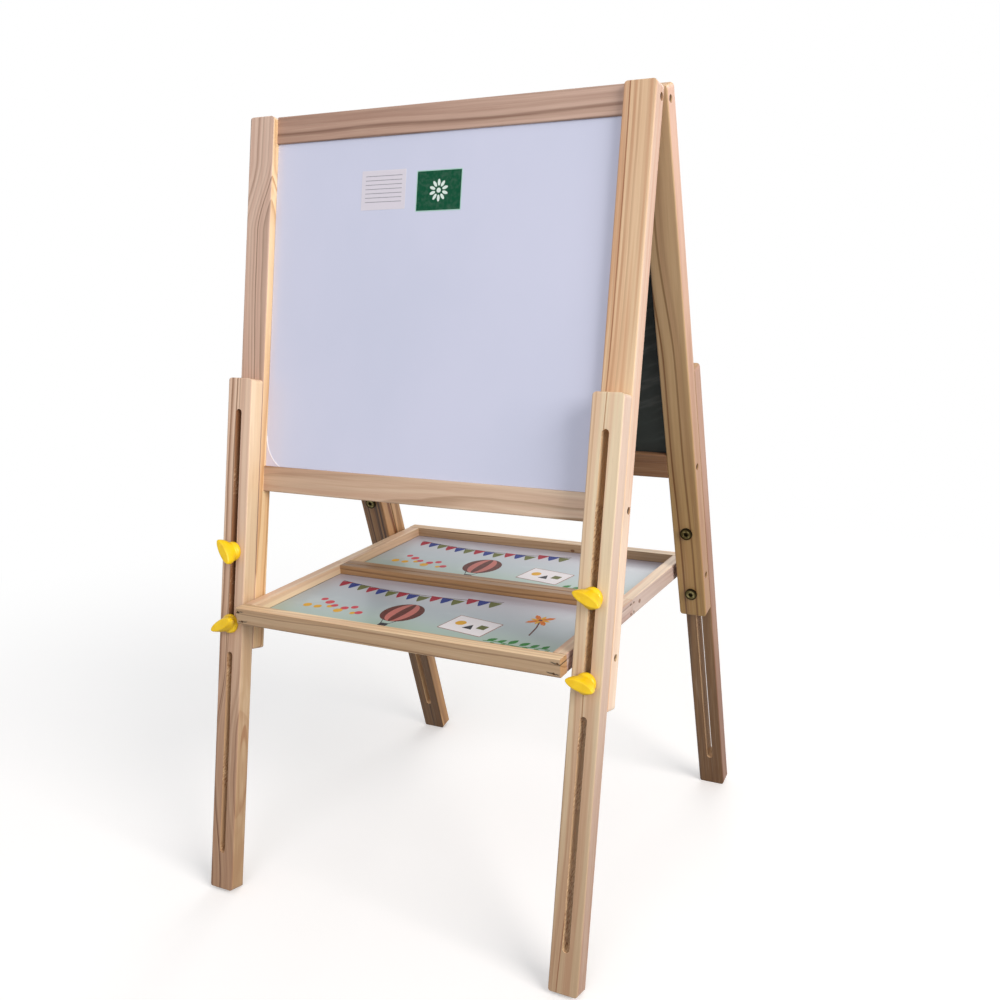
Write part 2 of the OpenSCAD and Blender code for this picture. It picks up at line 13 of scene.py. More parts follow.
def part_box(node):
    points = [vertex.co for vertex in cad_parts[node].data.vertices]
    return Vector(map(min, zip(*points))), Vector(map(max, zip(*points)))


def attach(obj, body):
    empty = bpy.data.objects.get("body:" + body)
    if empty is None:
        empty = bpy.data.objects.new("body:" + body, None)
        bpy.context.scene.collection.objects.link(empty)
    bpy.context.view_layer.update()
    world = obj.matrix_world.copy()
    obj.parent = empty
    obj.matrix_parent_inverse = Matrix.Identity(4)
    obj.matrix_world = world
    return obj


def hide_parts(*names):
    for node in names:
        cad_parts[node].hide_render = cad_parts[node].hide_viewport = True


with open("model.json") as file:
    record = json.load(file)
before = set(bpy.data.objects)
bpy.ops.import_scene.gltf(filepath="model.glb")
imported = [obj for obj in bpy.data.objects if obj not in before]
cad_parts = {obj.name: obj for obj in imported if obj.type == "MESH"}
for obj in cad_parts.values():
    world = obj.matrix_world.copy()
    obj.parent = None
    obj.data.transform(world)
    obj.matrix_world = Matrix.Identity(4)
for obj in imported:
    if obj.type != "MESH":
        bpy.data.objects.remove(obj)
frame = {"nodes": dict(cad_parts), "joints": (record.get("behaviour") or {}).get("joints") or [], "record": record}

LOG = logging.getLogger("easel")
MM = 0.001
X, Y, Z = (Vector(axis) for axis in ((1, 0, 0), (0, 1, 0), (0, 0, 1)))
WHITE = (1.0, 1.0, 1.0)
INK_1, INK_2, INK_3 = 0.10, 0.15, 0.20  # how far each layer of ink stands off, in millimetres
Colour = tuple[float, float, float]
Tones = tuple[str, str, str]
Number = Union[float, "Signal"]
Outline = Sequence[tuple[float, float]]


def paint(code: str) -> Colour:
    """Turns a hex colour into linear red, green and blue."""
    parts = [int(code[i : i + 2], 16) / 255 for i in (1, 3, 5)]
    return tuple(p / 12.92 if p <= 0.04045 else ((p + 0.055) / 1.055) ** 2.4 for p in parts)


def operator(operation: str, swapped: bool = False) -> Callable[["Signal", Number], "Signal"]:
    """Makes an operator of a signal that adds one Math node.

    Args:
        operation: the node's operation.
        swapped: whether the other term comes first.

    Returns:
        The operator's method.
    """

    def apply(self: "Signal", other: Number) -> "Signal":
        """Adds the node."""
        return self.math(operation, *((other, self) if swapped else (self, other)))

    return apply


class Signal:
    """A shader socket that takes part in Python arithmetic."""

    def __init__(self, bench: "Workbench", socket: bpy.types.NodeSocket) -> None:
        """Wraps a socket of the bench's tree."""
        self.bench, self.socket = bench, socket

    def math(self, operation: str, *terms: Number) -> "Signal":
        """Adds one Math node that holds the terms in order."""
        return self.bench.signal("ShaderNodeMath", dict(enumerate(terms)), operation=operation)

    __add__ = __radd__ = operator("ADD")
    __sub__ = operator("SUBTRACT")
    __rsub__ = operator("SUBTRACT", swapped=True)
    __mul__ = __rmul__ = operator("MULTIPLY")
    __truediv__ = operator("DIVIDE")
    __rtruediv__ = operator("DIVIDE", swapped=True)
    __pow__ = operator("POWER")
    least = operator("MINIMUM")
    most = operator("MAXIMUM")

    def __abs__(self) -> "Signal":
        """Drops the sign."""
        return self.math("ABSOLUTE", self)

    def floor(self) -> "Signal":
        """Rounds down."""
        return self.math("FLOOR", self)

    def root(self) -> "Signal":
        """Takes the square root."""
        return self.math("SQRT", self)

    def rise(self, low: float, high: float) -> "Signal":
        """Climbs smoothly from 0 at low to 1 at high."""
        inputs = {"Value": self, "From Min": low, "From Max": high}
        return self.bench.signal("ShaderNodeMapRange", inputs, interpolation_type="SMOOTHSTEP")

    def fall(self, low: float, high: float) -> "Signal":
        """Sinks smoothly from 1 at low to 0 at high."""
        return 1 - self.rise(low, high)


class Workbench:
    """A node tree and the one method that fills it."""

    def __init__(self, tree: bpy.types.NodeTree) -> None:
        """Takes up a tree."""
        self.tree = tree

    def node(self, kind: str, inputs: Optional[dict] = None, **settings: object) -> bpy.types.Node:
        """Makes any node.

        Args:
            kind: the node's type.
            inputs: values or signals, by socket name or number.
            settings: its properties, which are set first.

        Returns:
            The new node.
        """
        made = self.tree.nodes.new(kind)
        for key, value in settings.items():
            setattr(made, key, value)
        for key, value in (inputs or {}).items():
            socket = made.inputs[key]
            if isinstance(value, Signal):
                self.tree.links.new(value.socket, socket)
            else:
                socket.default_value = (*value, 1.0) if socket.type == "RGBA" else value
        return made

    def signal(
        self, kind: str, inputs: Optional[dict] = None, out: Union[int, str] = 0, **settings: object
    ) -> Signal:
        """Makes any node and gives its output number or name out."""
        return Signal(self, self.node(kind, inputs, **settings).outputs[out])


class Bench(Workbench):
    """One material and the tools that wire it."""

    def __init__(self, name: str) -> None:
        """Starts an empty material.

        Args:
            name: the material's name.
        """
        self.material = bpy.data.materials.new(name)
        self.material.use_nodes = True
        super().__init__(self.material.node_tree)
        self.tree.nodes.clear()

    def facing(self) -> Signal:
        """Gives the surface's direction on the piece."""
        return self.signal("ShaderNodeTexCoord", out="Normal")

    def along(self, point: Signal, axis: Vector, origin: Optional[Vector] = None) -> Signal:
        """Measures a vector along an axis.

        Args:
            point: the vector.
            axis: the unit axis.
            origin: where the measure is 0.

        Returns:
            The distance.
        """
        inputs = {0: point, 1: tuple(axis)}
        length = self.signal("ShaderNodeVectorMath", inputs, "Value", operation="DOT_PRODUCT")
        return length - origin.dot(axis) if origin else length

    def measure(self, *axes: Vector, origin: Optional[Vector] = None) -> list[Signal]:
        """Measures the point on the piece along each axis, in metres."""
        point = self.signal("ShaderNodeTexCoord", out="Object")
        return [self.along(point, axis, origin) for axis in axes]

    def noise(self, x: Number, y: Number, z: Number, detail: float = 2.0, rough: float = 0.5) -> Signal:
        """Makes cloudy noise around 0.5.

        Args:
            x: first coordinate, already scaled.
            y: second coordinate.
            z: third coordinate.
            detail: octaves of finer noise.
            rough: strength of the finer noise.

        Returns:
            A value from 0 to 1.
        """
        at = self.signal("ShaderNodeCombineXYZ", {0: x, 1: y, 2: z})
        inputs = {"Vector": at, "Scale": 1.0, "Detail": detail, "Roughness": rough}
        return self.signal("ShaderNodeTexNoise", inputs)

    def cloud(self, spot: Sequence[Signal], rate: float, detail: float = 2.0, rough: float = 0.5) -> Signal:
        """Makes noise that is as fine, at a rate per metre, in every direction."""
        return self.noise(*(part * rate for part in spot), detail, rough)

    def chance(self, value: Signal) -> Signal:
        """Gives each whole number its own value from 0 to 1."""
        return self.signal("ShaderNodeTexWhiteNoise", {"W": value}, "Value", noise_dimensions="1D")

    def mix(
        self, share: Number, first: Union[str, Signal], second: Union[str, Signal], way: str = "MIX"
    ) -> Signal:
        """Mixes two colours.

        Args:
            share: how much of the second shows.
            first: a hex colour or a signal.
            second: a hex colour or a signal.
            way: the blend type.

        Returns:
            The mixed colour.
        """
        pair = [paint(colour) if isinstance(colour, str) else colour for colour in (first, second)]
        inputs = {0: share, 6: pair[0], 7: pair[1]}
        return self.signal("ShaderNodeMix", inputs, 2, data_type="RGBA", blend_type=way)

    def relief(self, height: Signal, depth: float, strength: float = 1.0) -> Signal:
        """Turns a height into a bumped normal."""
        return self.signal("ShaderNodeBump", {"Height": height, "Distance": depth, "Strength": strength})

    def finish(self, **sockets: object) -> bpy.types.Material:
        """Closes the material with a Principled shader.

        Args:
            sockets: socket names with underscores for spaces, and what they hold.

        Returns:
            The material.
        """
        inputs = {name.replace("_", " "): value for name, value in sockets.items()}
        self.node("ShaderNodeOutputMaterial", {"Surface": self.signal("ShaderNodeBsdfPrincipled", inputs)})
        return self.material


def wear(piece: bpy.types.Object, material: bpy.types.Material) -> None:
    """Puts one material on a piece."""
    piece.data.materials.clear()
    piece.data.materials.append(material)


def middle_of(node: str) -> Vector:
    """Gives the centre of a node's box."""
    low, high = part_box(node)
    return (low + high) / 2


class End(Enum):
    """The two frames of the easel."""

    FRONT = "front"
    REAR = "rear"


@dataclass
class Lines:
    """The directions of one leaning frame, read from its joints."""

    end: End
    up: Vector = field(init=False)
    out: Vector = field(init=False)

    def __post_init__(self) -> None:
        """Looks the directions up in the frame's joints."""
        axes = {joint["name"]: Vector(joint["axis"]).normalized() for joint in frame["joints"]}
        self.up = -axes[f"{self.end.value}_leg_left_slide"]
        self.out = axes[f"nut_{self.end.value}_left_upper_turn"]


# ---- finishes ----


@dataclass(frozen=True)
class Grain:
    """How a length of pine was cut, how it has toned, and what light and shade is painted into it.

    Tones go pale, pink, late wood. Places on the piece are along and across it, from its middle.
    Side and outer tones give lit and shaded faces of one wood, and head and foot tones are
    partly painted shade along the piece.
    """

    origin: Vector
    along: Vector
    across: Vector
    depth: Vector
    half_length: float
    face: Tones
    # side tones: partly the wood's tone on its sides, partly painted light on sides and tops that face the lamps
    side: Optional[Tones] = None
    outer: Optional[Tones] = None
    # head and foot tones: partly tone along the piece, partly painted shade on its shaded parts
    head_tone_and_shade: str = "#FFFFFF"
    foot_tone_and_shade: str = "#FFFFFF"
    pith: tuple[float, float] = (0.06, 0.01)
    lean: float = 0.0
    ring: float = 0.0068
    wander: float = 0.010
    contrast: float = 0.8
    zoning: float = 0.8
    zone_rate: float = 130.0
    seed: float = 0.0
    slotted: bool = False
    # darkening of the lower and upper slot walls: scorch marks plus painted shade
    scorch_and_shade: tuple[float, float] = (0.22, 0.22)
    rough: tuple = ()
    flames: tuple = ()
    knots: tuple = ()
    lines: tuple = ()
    splits: tuple = ()
    bends: tuple = ()


@dataclass(frozen=True)
class Pine:
    """Clear-coated pine with growth rings, fibres, end grain and rough slot walls that carry painted shade."""

    roughness: float = 0.5
    full_share: float = 1.35
    fibre_dark: str = "#8C6240"
    fibre_pale: str = "#F6E2C4"
    knot: str = "#6E4526"
    knot_stretch: float = 1.5
    knot_halo: float = 2.2
    knot_swell: float = 1.4
    slit: str = "#453E2C"
    end_pale: str = "#C79E73"
    end_dark: str = "#8F6238"
    end_speck: str = "#6B4526"
    slot_half: float = 0.0043
    slot_pale: str = "#EACDA2"
    slot_dark: str = "#986642"

    @staticmethod
    def tint(bench: Bench, zone: Signal, share: Signal, tones: Tones) -> Signal:
        """Mixes the pale wood, its pink zones and its late rings.

        Args:
            bench: the material in hand.
            zone: how pink the wood is.
            share: how much of a late ring shows.
            tones: pale, pink and late wood.

        Returns:
            The wood's colour.
        """
        early, blush, late = tones
        return bench.mix(share, bench.mix(zone, early, blush), late)

    def flamed(self, grain: Grain, a: Signal, c: Signal, share: Signal) -> Signal:
        """Adds the long ovals of a slanting cut to a narrow side.

        Args:
            grain: the cut, with its flames.
            a: the place along the piece.
            c: the place across the narrow side.
            share: how much of a late ring shows without them.

        Returns:
            The new share.
        """
        for flame_a, flame_c, half_a, half_c in grain.flames:
            up = (a - flame_a) / half_a
            over = (c - flame_c) / half_c
            gap = (up * up + over * over).root()
            rim = gap.rise(0.60, 0.90) * gap.fall(0.96, 1.12)
            share = share + rim * (up.rise(0.35, 0.9) * 1.1 + 0.35) + gap.fall(0.05, 0.45) * 0.4
        return share.least(self.full_share)

    def dress(self, piece: bpy.types.Object, grain: Grain) -> None:
        """Gives a piece its pine.

        Args:
            piece: the batten or rail.
            grain: its cut and tone.
        """
        bench = Bench(f"pine_{piece.name}")
        a, b, c = bench.measure(grain.along, grain.across, grain.depth, origin=grain.origin)
        normal = bench.facing()
        seed = grain.seed
        drift_b, drift_c = (
            (bench.noise(a * rate + seed, level, seed, 1.0) - 0.5) * grain.wander * 2
            for rate, level in ((3.1, 0.0), (2.3, 7.0))
        )
        ripple = (bench.noise(a * 14 + seed, b * 60, c * 60, 2.0) - 0.5) * 0.0024
        for bend_a, bend_half, bend_shift in grain.bends:
            drift_b = drift_b + a.rise(bend_a - bend_half, bend_a + bend_half) * bend_shift
        across = b - grain.pith[0] + drift_b
        depth = c - grain.pith[1] + drift_c + a * grain.lean
        radius = (across * across + depth * depth).root() + ripple
        core: Optional[Signal] = None
        for knot_a, knot_b, knot_r in grain.knots:
            reach_a = (a - knot_a) / self.knot_stretch
            reach_b = b - knot_b
            gap = (reach_a * reach_a + reach_b * reach_b).root()
            halo = (gap / (knot_r * self.knot_halo)) ** 2.0 + 1
            radius = radius + knot_r * self.knot_swell / halo**2.0
            spot = gap.fall(knot_r * 0.7, knot_r * 1.1)
            core = spot if core is None else core.most(spot)
        phase = radius / grain.ring + (bench.noise(radius * 46, seed, a * 0.6, 1.0) - 0.5) * 4.0
        count = phase.floor()
        step = phase - count
        weight = bench.chance(count + seed) ** 2.4 * 1.15 + 0.10
        late = step.rise(0.30, 0.86) * step.fall(0.90, 1.0) * weight
        fibre = bench.noise(a * 16 + seed, b * 820, c * 820, 2.0, 0.6)
        streak = bench.noise(a * 4.5 + seed, b * 190, c * 190, 2.0, 0.6)
        dash = bench.noise(a * 70 + seed, b * 1100, c * 1100, 1.0).rise(0.70, 0.80)
        zone = bench.noise(a * 1.5 + seed, across * grain.zone_rate, depth * grain.zone_rate, 1.5, 0.5)
        zone = zone.rise(0.40, 0.60) * grain.zoning
        share = late * grain.contrast + (streak - 0.5) * 0.5
        for line_b, line_slope, line_width, line_strength in grain.lines:
            off = abs(b - line_b + a * line_slope + drift_b)
            share = share + off.fall(line_width * 0.3, line_width) * line_strength
        share = share.least(self.full_share).most(0.0)
        colour = self.tint(bench, zone, share, grain.face)
        # Side faces take their own tones: partly the wood's tone there, partly painted light on the sides that
        # face the lamps.
        if grain.side:
            flank_tone_and_light = abs(bench.along(normal, grain.across)).rise(0.6, 0.9)
            figured = self.flamed(grain, a, c + ripple * 2, share)
            colour = bench.mix(flank_tone_and_light, colour, self.tint(bench, zone, figured, grain.side))
        # Outer tones give the outward faces the unshaded wood; the darker face tones of the rear frame are painted
        # shade on its inner faces.
        if grain.outer:
            outward = bench.along(normal, grain.depth).rise(0.6, 0.9)
            colour = bench.mix(outward, colour, self.tint(bench, zone, share, grain.outer))
        # Head and foot tones multiply the wood darker along its length: partly its own tone, partly painted shade
        # on parts that stand in shade, such as the feet and the stile below the shelf.
        reach = (a / (2 * grain.half_length) + 0.5).rise(0.0, 1.0)
        colour = bench.mix(1.0, colour, bench.mix(reach, grain.foot_tone_and_shade, grain.head_tone_and_shade), "MULTIPLY")
        fleck = ((fibre - 0.5) * 0.9 + dash * 0.35).most(0.0).least(1.0)
        colour = bench.mix(fleck * 0.5, colour, self.fibre_dark)
        pale = ((0.46 - fibre) * 1.6).most(0.0).least(1.0)
        colour = bench.mix(pale * 0.35, colour, self.fibre_pale)
        if core is not None:
            colour = bench.mix(core * 0.85, colour, self.knot)
        end = abs(bench.along(normal, grain.along)).rise(0.70, 0.95)
        speck = bench.noise(a * 300, b * 1500, c * 1500, 2.0, 0.7)
        end_colour = bench.mix(share.least(1.0) * 0.8 + 0.1, self.end_pale, self.end_dark)
        end_colour = bench.mix(speck.rise(0.5, 0.75) * 0.5, end_colour, self.end_speck)
        colour = bench.mix(end * 0.8, colour, end_colour)
        height = fibre * 0.6 - late * 0.35 + dash * -0.5
        for split_a, split_b in grain.splits:
            from_nail = abs(a) - split_a
            crook = (bench.noise(a * 260, b * 30, seed, 2.0) - 0.5) * 0.003
            slit = abs(b - split_b + from_nail * 0.16 + crook).fall(0.0003, 0.0011)
            slit = slit * abs(from_nail).fall(0.0045, 0.0085)
            colour = bench.mix(slit * 0.9, colour, self.slit)
            height = height - slit * 4
        roughness = self.roughness + (fibre - 0.5) * 0.25 + late * -0.08 + end * 0.25
        if grain.slotted:
            inside = abs(b).fall(self.slot_half - 0.0002, self.slot_half)
            wall = inside * abs(bench.along(normal, grain.depth)).fall(0.5, 0.8)
            torn = bench.noise(a * 11 + seed, 9.0, seed, 2.0).rise(0.50, 0.62)
            for rough_a, rough_half in grain.rough:
                torn = torn.most(abs(a - rough_a).fall(rough_half * 0.7, rough_half) * 1.3)
            tear = bench.noise(a * 360 + c * 170 + seed, b * 90, c * 240, 3.0, 0.7)
            scorch = bench.noise(a * 9 + seed, 3.0, c * 60, 2.0)
            # Slot wall darkening: the walls' scorch marks plus painted shade, set apart for the upper and the
            # lower slot because less of a lit wall shows in the upper one.
            lower, upper = grain.scorch_and_shade
            singed_and_shaded = scorch * 0.5 + a.rise(-0.01, 0.01) * (upper - lower) + lower
            wall_scorch_and_shade = bench.mix((0.5 - tear) * torn * 2.7 + singed_and_shaded, self.slot_pale, self.slot_dark)
            colour = bench.mix(wall * 0.92, colour, wall_scorch_and_shade)
            height = height + wall * tear * (torn * 5 + 1.5)
            roughness = roughness + wall * 0.35
        wear(piece, bench.finish(
            Base_Color=colour, Roughness=roughness.least(0.95), Normal=bench.relief(height, 0.00012, 0.9),
            Specular_IOR_Level=0.4, Coat_Weight=0.1, Coat_Roughness=0.3,
        ))


@dataclass(frozen=True)
class CoatedBoard:
    """Hardboard with a smooth or chalky coat and a brown raw edge."""

    name: str
    colour: str
    cloudy: str
    roughness: float
    coat: float
    chalk: float = 0.0
    chalk_dust: str = "#C8CEC9"
    raw_edge: str = "#7B5537"

    def dress(self, piece: bpy.types.Object, lines: Lines) -> None:
        """Coats a board.

        Args:
            piece: the board.
            lines: its frame's directions.
        """
        bench = Bench(self.name)
        x, u = bench.measure(X, lines.up)
        face = abs(bench.along(bench.facing(), lines.out)).rise(0.6, 0.9)
        cloud = bench.noise(x * 7, u * 5, 3.0, 3.0)
        fine = bench.noise(x * 900, u * 900, 1.0, 2.0)
        colour = bench.mix(cloud.rise(0.3, 0.7), self.colour, self.cloudy)
        roughness = self.roughness + (cloud - 0.5) * 0.06
        if self.chalk:
            swipe = bench.noise(x * 9 + u * 5, u * 55 - x * 20, 8.0, 4.0, 0.65).rise(0.48, 0.85)
            haze = bench.noise(x * 5, u * 6, 15.0, 2.0).rise(0.35, 0.75)
            grit = bench.noise(x * 2200, u * 2200, 5.0, 1.0).rise(0.35, 0.7)
            dust = swipe * haze * (grit * 0.6 + 0.4) * self.chalk
            colour = bench.mix(dust, colour, self.chalk_dust)
            roughness = roughness + dust * 0.2
        else:
            rub = bench.noise(x * 30 + u * 10, u * 240, 2.0, 3.0, 0.6).rise(0.5, 0.8)
            roughness = roughness + rub * 0.05
        wear(piece, bench.finish(
            Base_Color=bench.mix(1 - face, colour, self.raw_edge), Roughness=roughness,
            Normal=bench.relief(fine, 0.00002, 0.4), Coat_Weight=self.coat, Coat_Roughness=0.08,
        ))


@dataclass(frozen=True)
class PrintedPanel:
    """Printed hardboard that fades from lavender at the back to sea green at the front."""

    back: str = "#C5C0CC"
    middle: str = "#B0BDC4"
    front: str = "#A3BFAD"
    worn: str = "#DCE6E6"
    # width and colour of the painted shadow in the gap where the panel meets the rails
    seam: float = 0.0014
    gap_shadow: str = "#54463C"
    raw_pale: str = "#8A6444"
    raw_dark: str = "#6F4D33"

    def dress(self, half: End) -> str:
        """Prints the background of one shelf panel.

        Args:
            half: the shelf half that it lies in.

        Returns:
            The panel's name.
        """
        shelf = f"shelf_{half.value}"
        piece = frame["nodes"][f"{shelf}_panel"]
        rails = [f"{shelf}_rail", f"{shelf}_mid_rail"]
        near, far = rails if half is End.FRONT else rails[::-1]
        low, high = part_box(piece.name)
        bench = Bench(f"print_{piece.name}")
        x, y = bench.measure(X, Y)
        depth = (y - low.y) / (high.y - low.y)
        fade = depth + (bench.noise(x * 6, depth * 2, 0.0, 2.0) - 0.5) * 0.25
        colour = bench.mix(fade.rise(0.0, 0.55), self.front, self.middle)
        colour = bench.mix(fade.rise(0.45, 1.0), colour, self.back)
        patch = bench.noise(x * 14, depth * 3.5, 4.0, 3.0)
        colour = bench.mix(patch.rise(0.55, 0.8) * 0.35, colour, self.worn)
        rim = (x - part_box(f"{shelf}_side_left")[1].x).least(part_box(f"{shelf}_side_right")[0].x - x)
        rim = rim.least(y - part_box(near)[1].y).least(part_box(far)[0].y - y)
        # Painted shadow along the gap between the panel and the rails.
        seam = (rim + (patch - 0.5) * 0.0012).fall(self.seam * 0.4, self.seam)
        colour = bench.mix(seam * 0.75, colour, self.gap_shadow)
        top = bench.along(bench.facing(), Z).rise(0.6, 0.9)
        raw = bench.mix(bench.noise(x * 260, depth * 60, 2.0, 3.0), self.raw_pale, self.raw_dark)
        wear(piece, bench.finish(
            Base_Color=bench.mix(1 - top, colour, raw),
            Roughness=0.38 + (patch - 0.5) * 0.1 + (1 - top) * 0.35,
            Normal=bench.relief(bench.noise(x * 700, depth * 110, 0.0, 2.0), 0.00003, 0.5),
            Coat_Weight=0.1,
        ))
        return piece.name


class Ink(Enum):
    """Flat printed colours and thin films, each with its roughness."""

    LABEL_PAPER = ("#DEDAE4", 0.55)
    RULE_GREY = ("#8A8894", 0.55)
    STICKER_EDGE = ("#A9D3C6", 0.3)
    STICKER_GREEN = ("#004E33", 0.4)
    STICKER_PALE = ("#DDEBE4", 0.3)
    FILM_SKIN = ("#D9D4E4", 0.2)
    FILM_RIM = ("#F3F1F6", 0.25)
    PRINT_RED = ("#A32035", 0.5)
    PRINT_BLUE = ("#1F3484", 0.5)
    PRINT_OLIVE = ("#666B36", 0.5)
    PRINT_ORANGE = ("#DB7620", 0.5)
    PRINT_YELLOW = ("#E3AC34", 0.5)
    PRINT_GREEN = ("#34803A", 0.5)
    PRINT_PINK = ("#C2746B", 0.5)
    PRINT_ROSE = ("#CF4A55", 0.5)
    PRINT_BROWN = ("#5F3029", 0.5)
    PRINT_WHITE = ("#F4F0F3", 0.5)
    PRINT_EDGE = ("#9F8078", 0.5)
    PRINT_SLATE = ("#2E2F36", 0.5)
    PRINT_STRING = ("#5D4A48", 0.5)

    def make(self) -> bpy.types.Material:
        """Mixes the ink once, slightly mottled.

        Returns:
            The material.
        """
        name = f"ink_{self.name.lower()}"
        if name in bpy.data.materials:
            return bpy.data.materials[name]
        bench = Bench(name)
        colour, roughness = self.value
        mottle = bench.cloud(bench.measure(X, Y, Z), 220, 3.0)
        return bench.finish(
            Base_Color=bench.mix(mottle.rise(0.35, 0.85) * 0.04, colour, "#FFFFFF"),
            Roughness=roughness + (mottle - 0.5) * 0.1, Specular_IOR_Level=0.12,
        )


@dataclass(frozen=True)
class NutPlastic:
    """Moulded yellow plastic with a satin skin and faint scuffs."""

    colour: str = "#F9D011"
    shade: str = "#F1C405"
    scuffed: str = "#FFE48A"

    def make(self) -> bpy.types.Material:
        """Moulds the plastic.

        Returns:
            The material.
        """
        bench = Bench("nut_plastic")
        x, y, z = spot = bench.measure(X, Y, Z)
        skin = bench.cloud(spot, 1500)
        scuff = bench.noise(x * 300, y * 1400, z * 300, 3.0, 0.7).rise(0.58, 0.72)
        colour = bench.mix(bench.cloud(spot, 90).rise(0.35, 0.7), self.colour, self.shade)
        return bench.finish(
            Base_Color=bench.mix(scuff * 0.18, colour, self.scuffed),
            Roughness=0.34 + scuff * 0.2 + (skin - 0.5) * 0.08,
            Normal=bench.relief(skin * 0.5 + scuff, 0.00004, 0.6),
        )


@dataclass(frozen=True)
class Metal:
    """Plated steel with tarnish in patches and fine turning marks."""

    name: str
    bright: str
    dull: str
    roughness: float
    marks: float = 900.0
    pitted: str = "#2B241C"

    def make(self) -> bpy.types.Material:
        """Plates the metal.

        Returns:
            The material.
        """
        bench = Bench(self.name)
        x, y, z = spot = bench.measure(X, Y, Z)
        patch = bench.cloud(spot, 160, 3.0, 0.6)
        line = bench.noise(x * self.marks, y * 60, z * self.marks * 2, 2.0)
        pit = bench.cloud(spot, 2600, 1.0).rise(0.68, 0.8)
        colour = bench.mix(patch.rise(0.35, 0.7), self.bright, self.dull)
        return bench.finish(
            Base_Color=bench.mix(pit * 0.4, colour, self.pitted), Metallic=1.0,
            Roughness=self.roughness + (patch - 0.5) * 0.25 + (line - 0.5) * 0.1,
            Normal=bench.relief(line - pit, 0.00003, 0.7),
        )


@dataclass(frozen=True)
class BoltPlatingAndHighlight:
    """Brassed steel with a dark rim, a painted highlight ring and a dark centre of painted socket shade on each
    head.
    """

    end: End
    bright: str = "#91885F"
    olive: str = "#4E4528"
    dark: str = "#211B10"

    def make(self) -> bpy.types.Material:
        """Plates the bolts of one frame and paints a highlight and a socket shade on their heads.

        Returns:
            The material.
        """
        bench = Bench(f"bolt_plating_{self.end.value}")
        up = Lines(self.end).up
        x, y, z, u = bench.measure(X, Y, Z, up)
        reach: Optional[Signal] = None
        for joint in frame["joints"]:
            if joint["child"].startswith(f"nut_{self.end.value}"):
                at = Vector(joint["pos_m"])
                gap_x, gap_u = x - at.x, u - at.dot(up)
                gap = (gap_x * gap_x + gap_u * gap_u).root()
                reach = gap if reach is None else reach.least(gap)
        cloud = bench.cloud((x, y, z), 420, 3.0, 0.6)
        # The bright ring and its glints are a painted highlight on each head; the dark centre paints the shade in
        # its socket.
        ring = reach.rise(0.0026, 0.0034) * reach.fall(0.0048, 0.0058)
        rim = reach.rise(0.0058, 0.0070)
        glint = bench.noise(x * 260, y * 260, z * 260 + 3, 2.0, 0.5).rise(0.46, 0.62)
        colour = bench.mix(ring * (glint * 0.75 + 0.12), self.olive, self.bright)
        for share in (rim * 0.85, reach.fall(0.0024, 0.0030) * 0.8, cloud.rise(0.5, 0.75) * 0.4):
            colour = bench.mix(share, colour, self.dark)
        return bench.finish(
            Base_Color=colour, Metallic=1.0, Roughness=0.3 + cloud * 0.2 + rim * 0.15,
            Normal=bench.relief(ring + cloud * 0.2, 0.0004, 0.8),
        )


@dataclass(frozen=True)
class Nylon:
    """Brown moulded nylon."""

    colour: str = "#6A4E3C"
    shade: str = "#4A352A"

    def make(self) -> bpy.types.Material:
        """Moulds the nylon.

        Returns:
            The material.
        """
        bench = Bench("nylon")
        cloud = bench.cloud(bench.measure(X, Y, Z), 400)
        colour = bench.mix(cloud, self.colour, self.shade)
        return bench.finish(Base_Color=colour, Roughness=0.5 + (cloud - 0.5) * 0.1)


# ---- mesh helpers ----


def link(name: str, data: bpy.types.ID) -> bpy.types.Object:
    """Makes an object and adds it to the scene.

    Args:
        name: the object's name.
        data: its mesh, camera or light.

    Returns:
        The object, at the origin.
    """
    made = bpy.data.objects.new(name, data)
    bpy.context.scene.collection.objects.link(made)
    return made


def closed(count: int, loops: int, start: int = 0) -> list[Sequence[int]]:
    """Joins a stack of loops with walls and caps both of its ends.

    Args:
        count: the points of each loop.
        loops: how many loops there are.
        start: the number of the first point.

    Returns:
        The faces, as point numbers.
    """
    last = start + (loops - 1) * count
    rings = range(start, last, count)
    faces = [
        (ring + i, ring + (i + 1) % count, ring + count + (i + 1) % count, ring + count + i)
        for ring in rings for i in range(count)
    ]
    return faces + [range(last, last + count), range(start, start + count)[::-1]]


def new_piece(name: str, verts: Sequence, faces: Sequence, smooth: bool = True) -> bpy.types.Object:
    """Makes a mesh object at the origin.

    Args:
        name: the piece's name.
        verts: its points, in metres.
        faces: its faces, as point numbers.
        smooth: whether its faces are shaded smooth.

    Returns:
        The object, with its doubles merged and its normals outwards.
    """
    mesh = bpy.data.meshes.new(name)
    mesh.from_pydata([tuple(v) for v in verts], [], [tuple(f) for f in faces])
    work = bmesh.new()
    work.from_mesh(mesh)
    bmesh.ops.remove_doubles(work, verts=work.verts, dist=1e-7)
    bmesh.ops.recalc_face_normals(work, faces=work.faces)
    for face in work.faces:
        face.smooth = smooth
    work.to_mesh(mesh)
    work.free()
    return link(name, mesh)


def bake_down(piece: bpy.types.Object) -> None:
    """Applies a piece's modifiers and leaves a plain mesh.

    Args:
        piece: the object with live modifiers.
    """
    bpy.context.view_layer.update()
    graph = bpy.context.evaluated_depsgraph_get()
    mesh = bpy.data.meshes.new_from_object(piece.evaluated_get(graph))
    piece.modifiers.clear()
    piece.data = mesh


def turned(points: Outline, u: float, v: float, turn: float) -> list[tuple[float, float]]:
    """Turns points about 0 by some degrees and moves them to u and v."""
    c, w = math.cos(math.radians(turn)), math.sin(math.radians(turn))
    return [(u + p * c - q * w, v + p * w + q * c) for p, q in points]


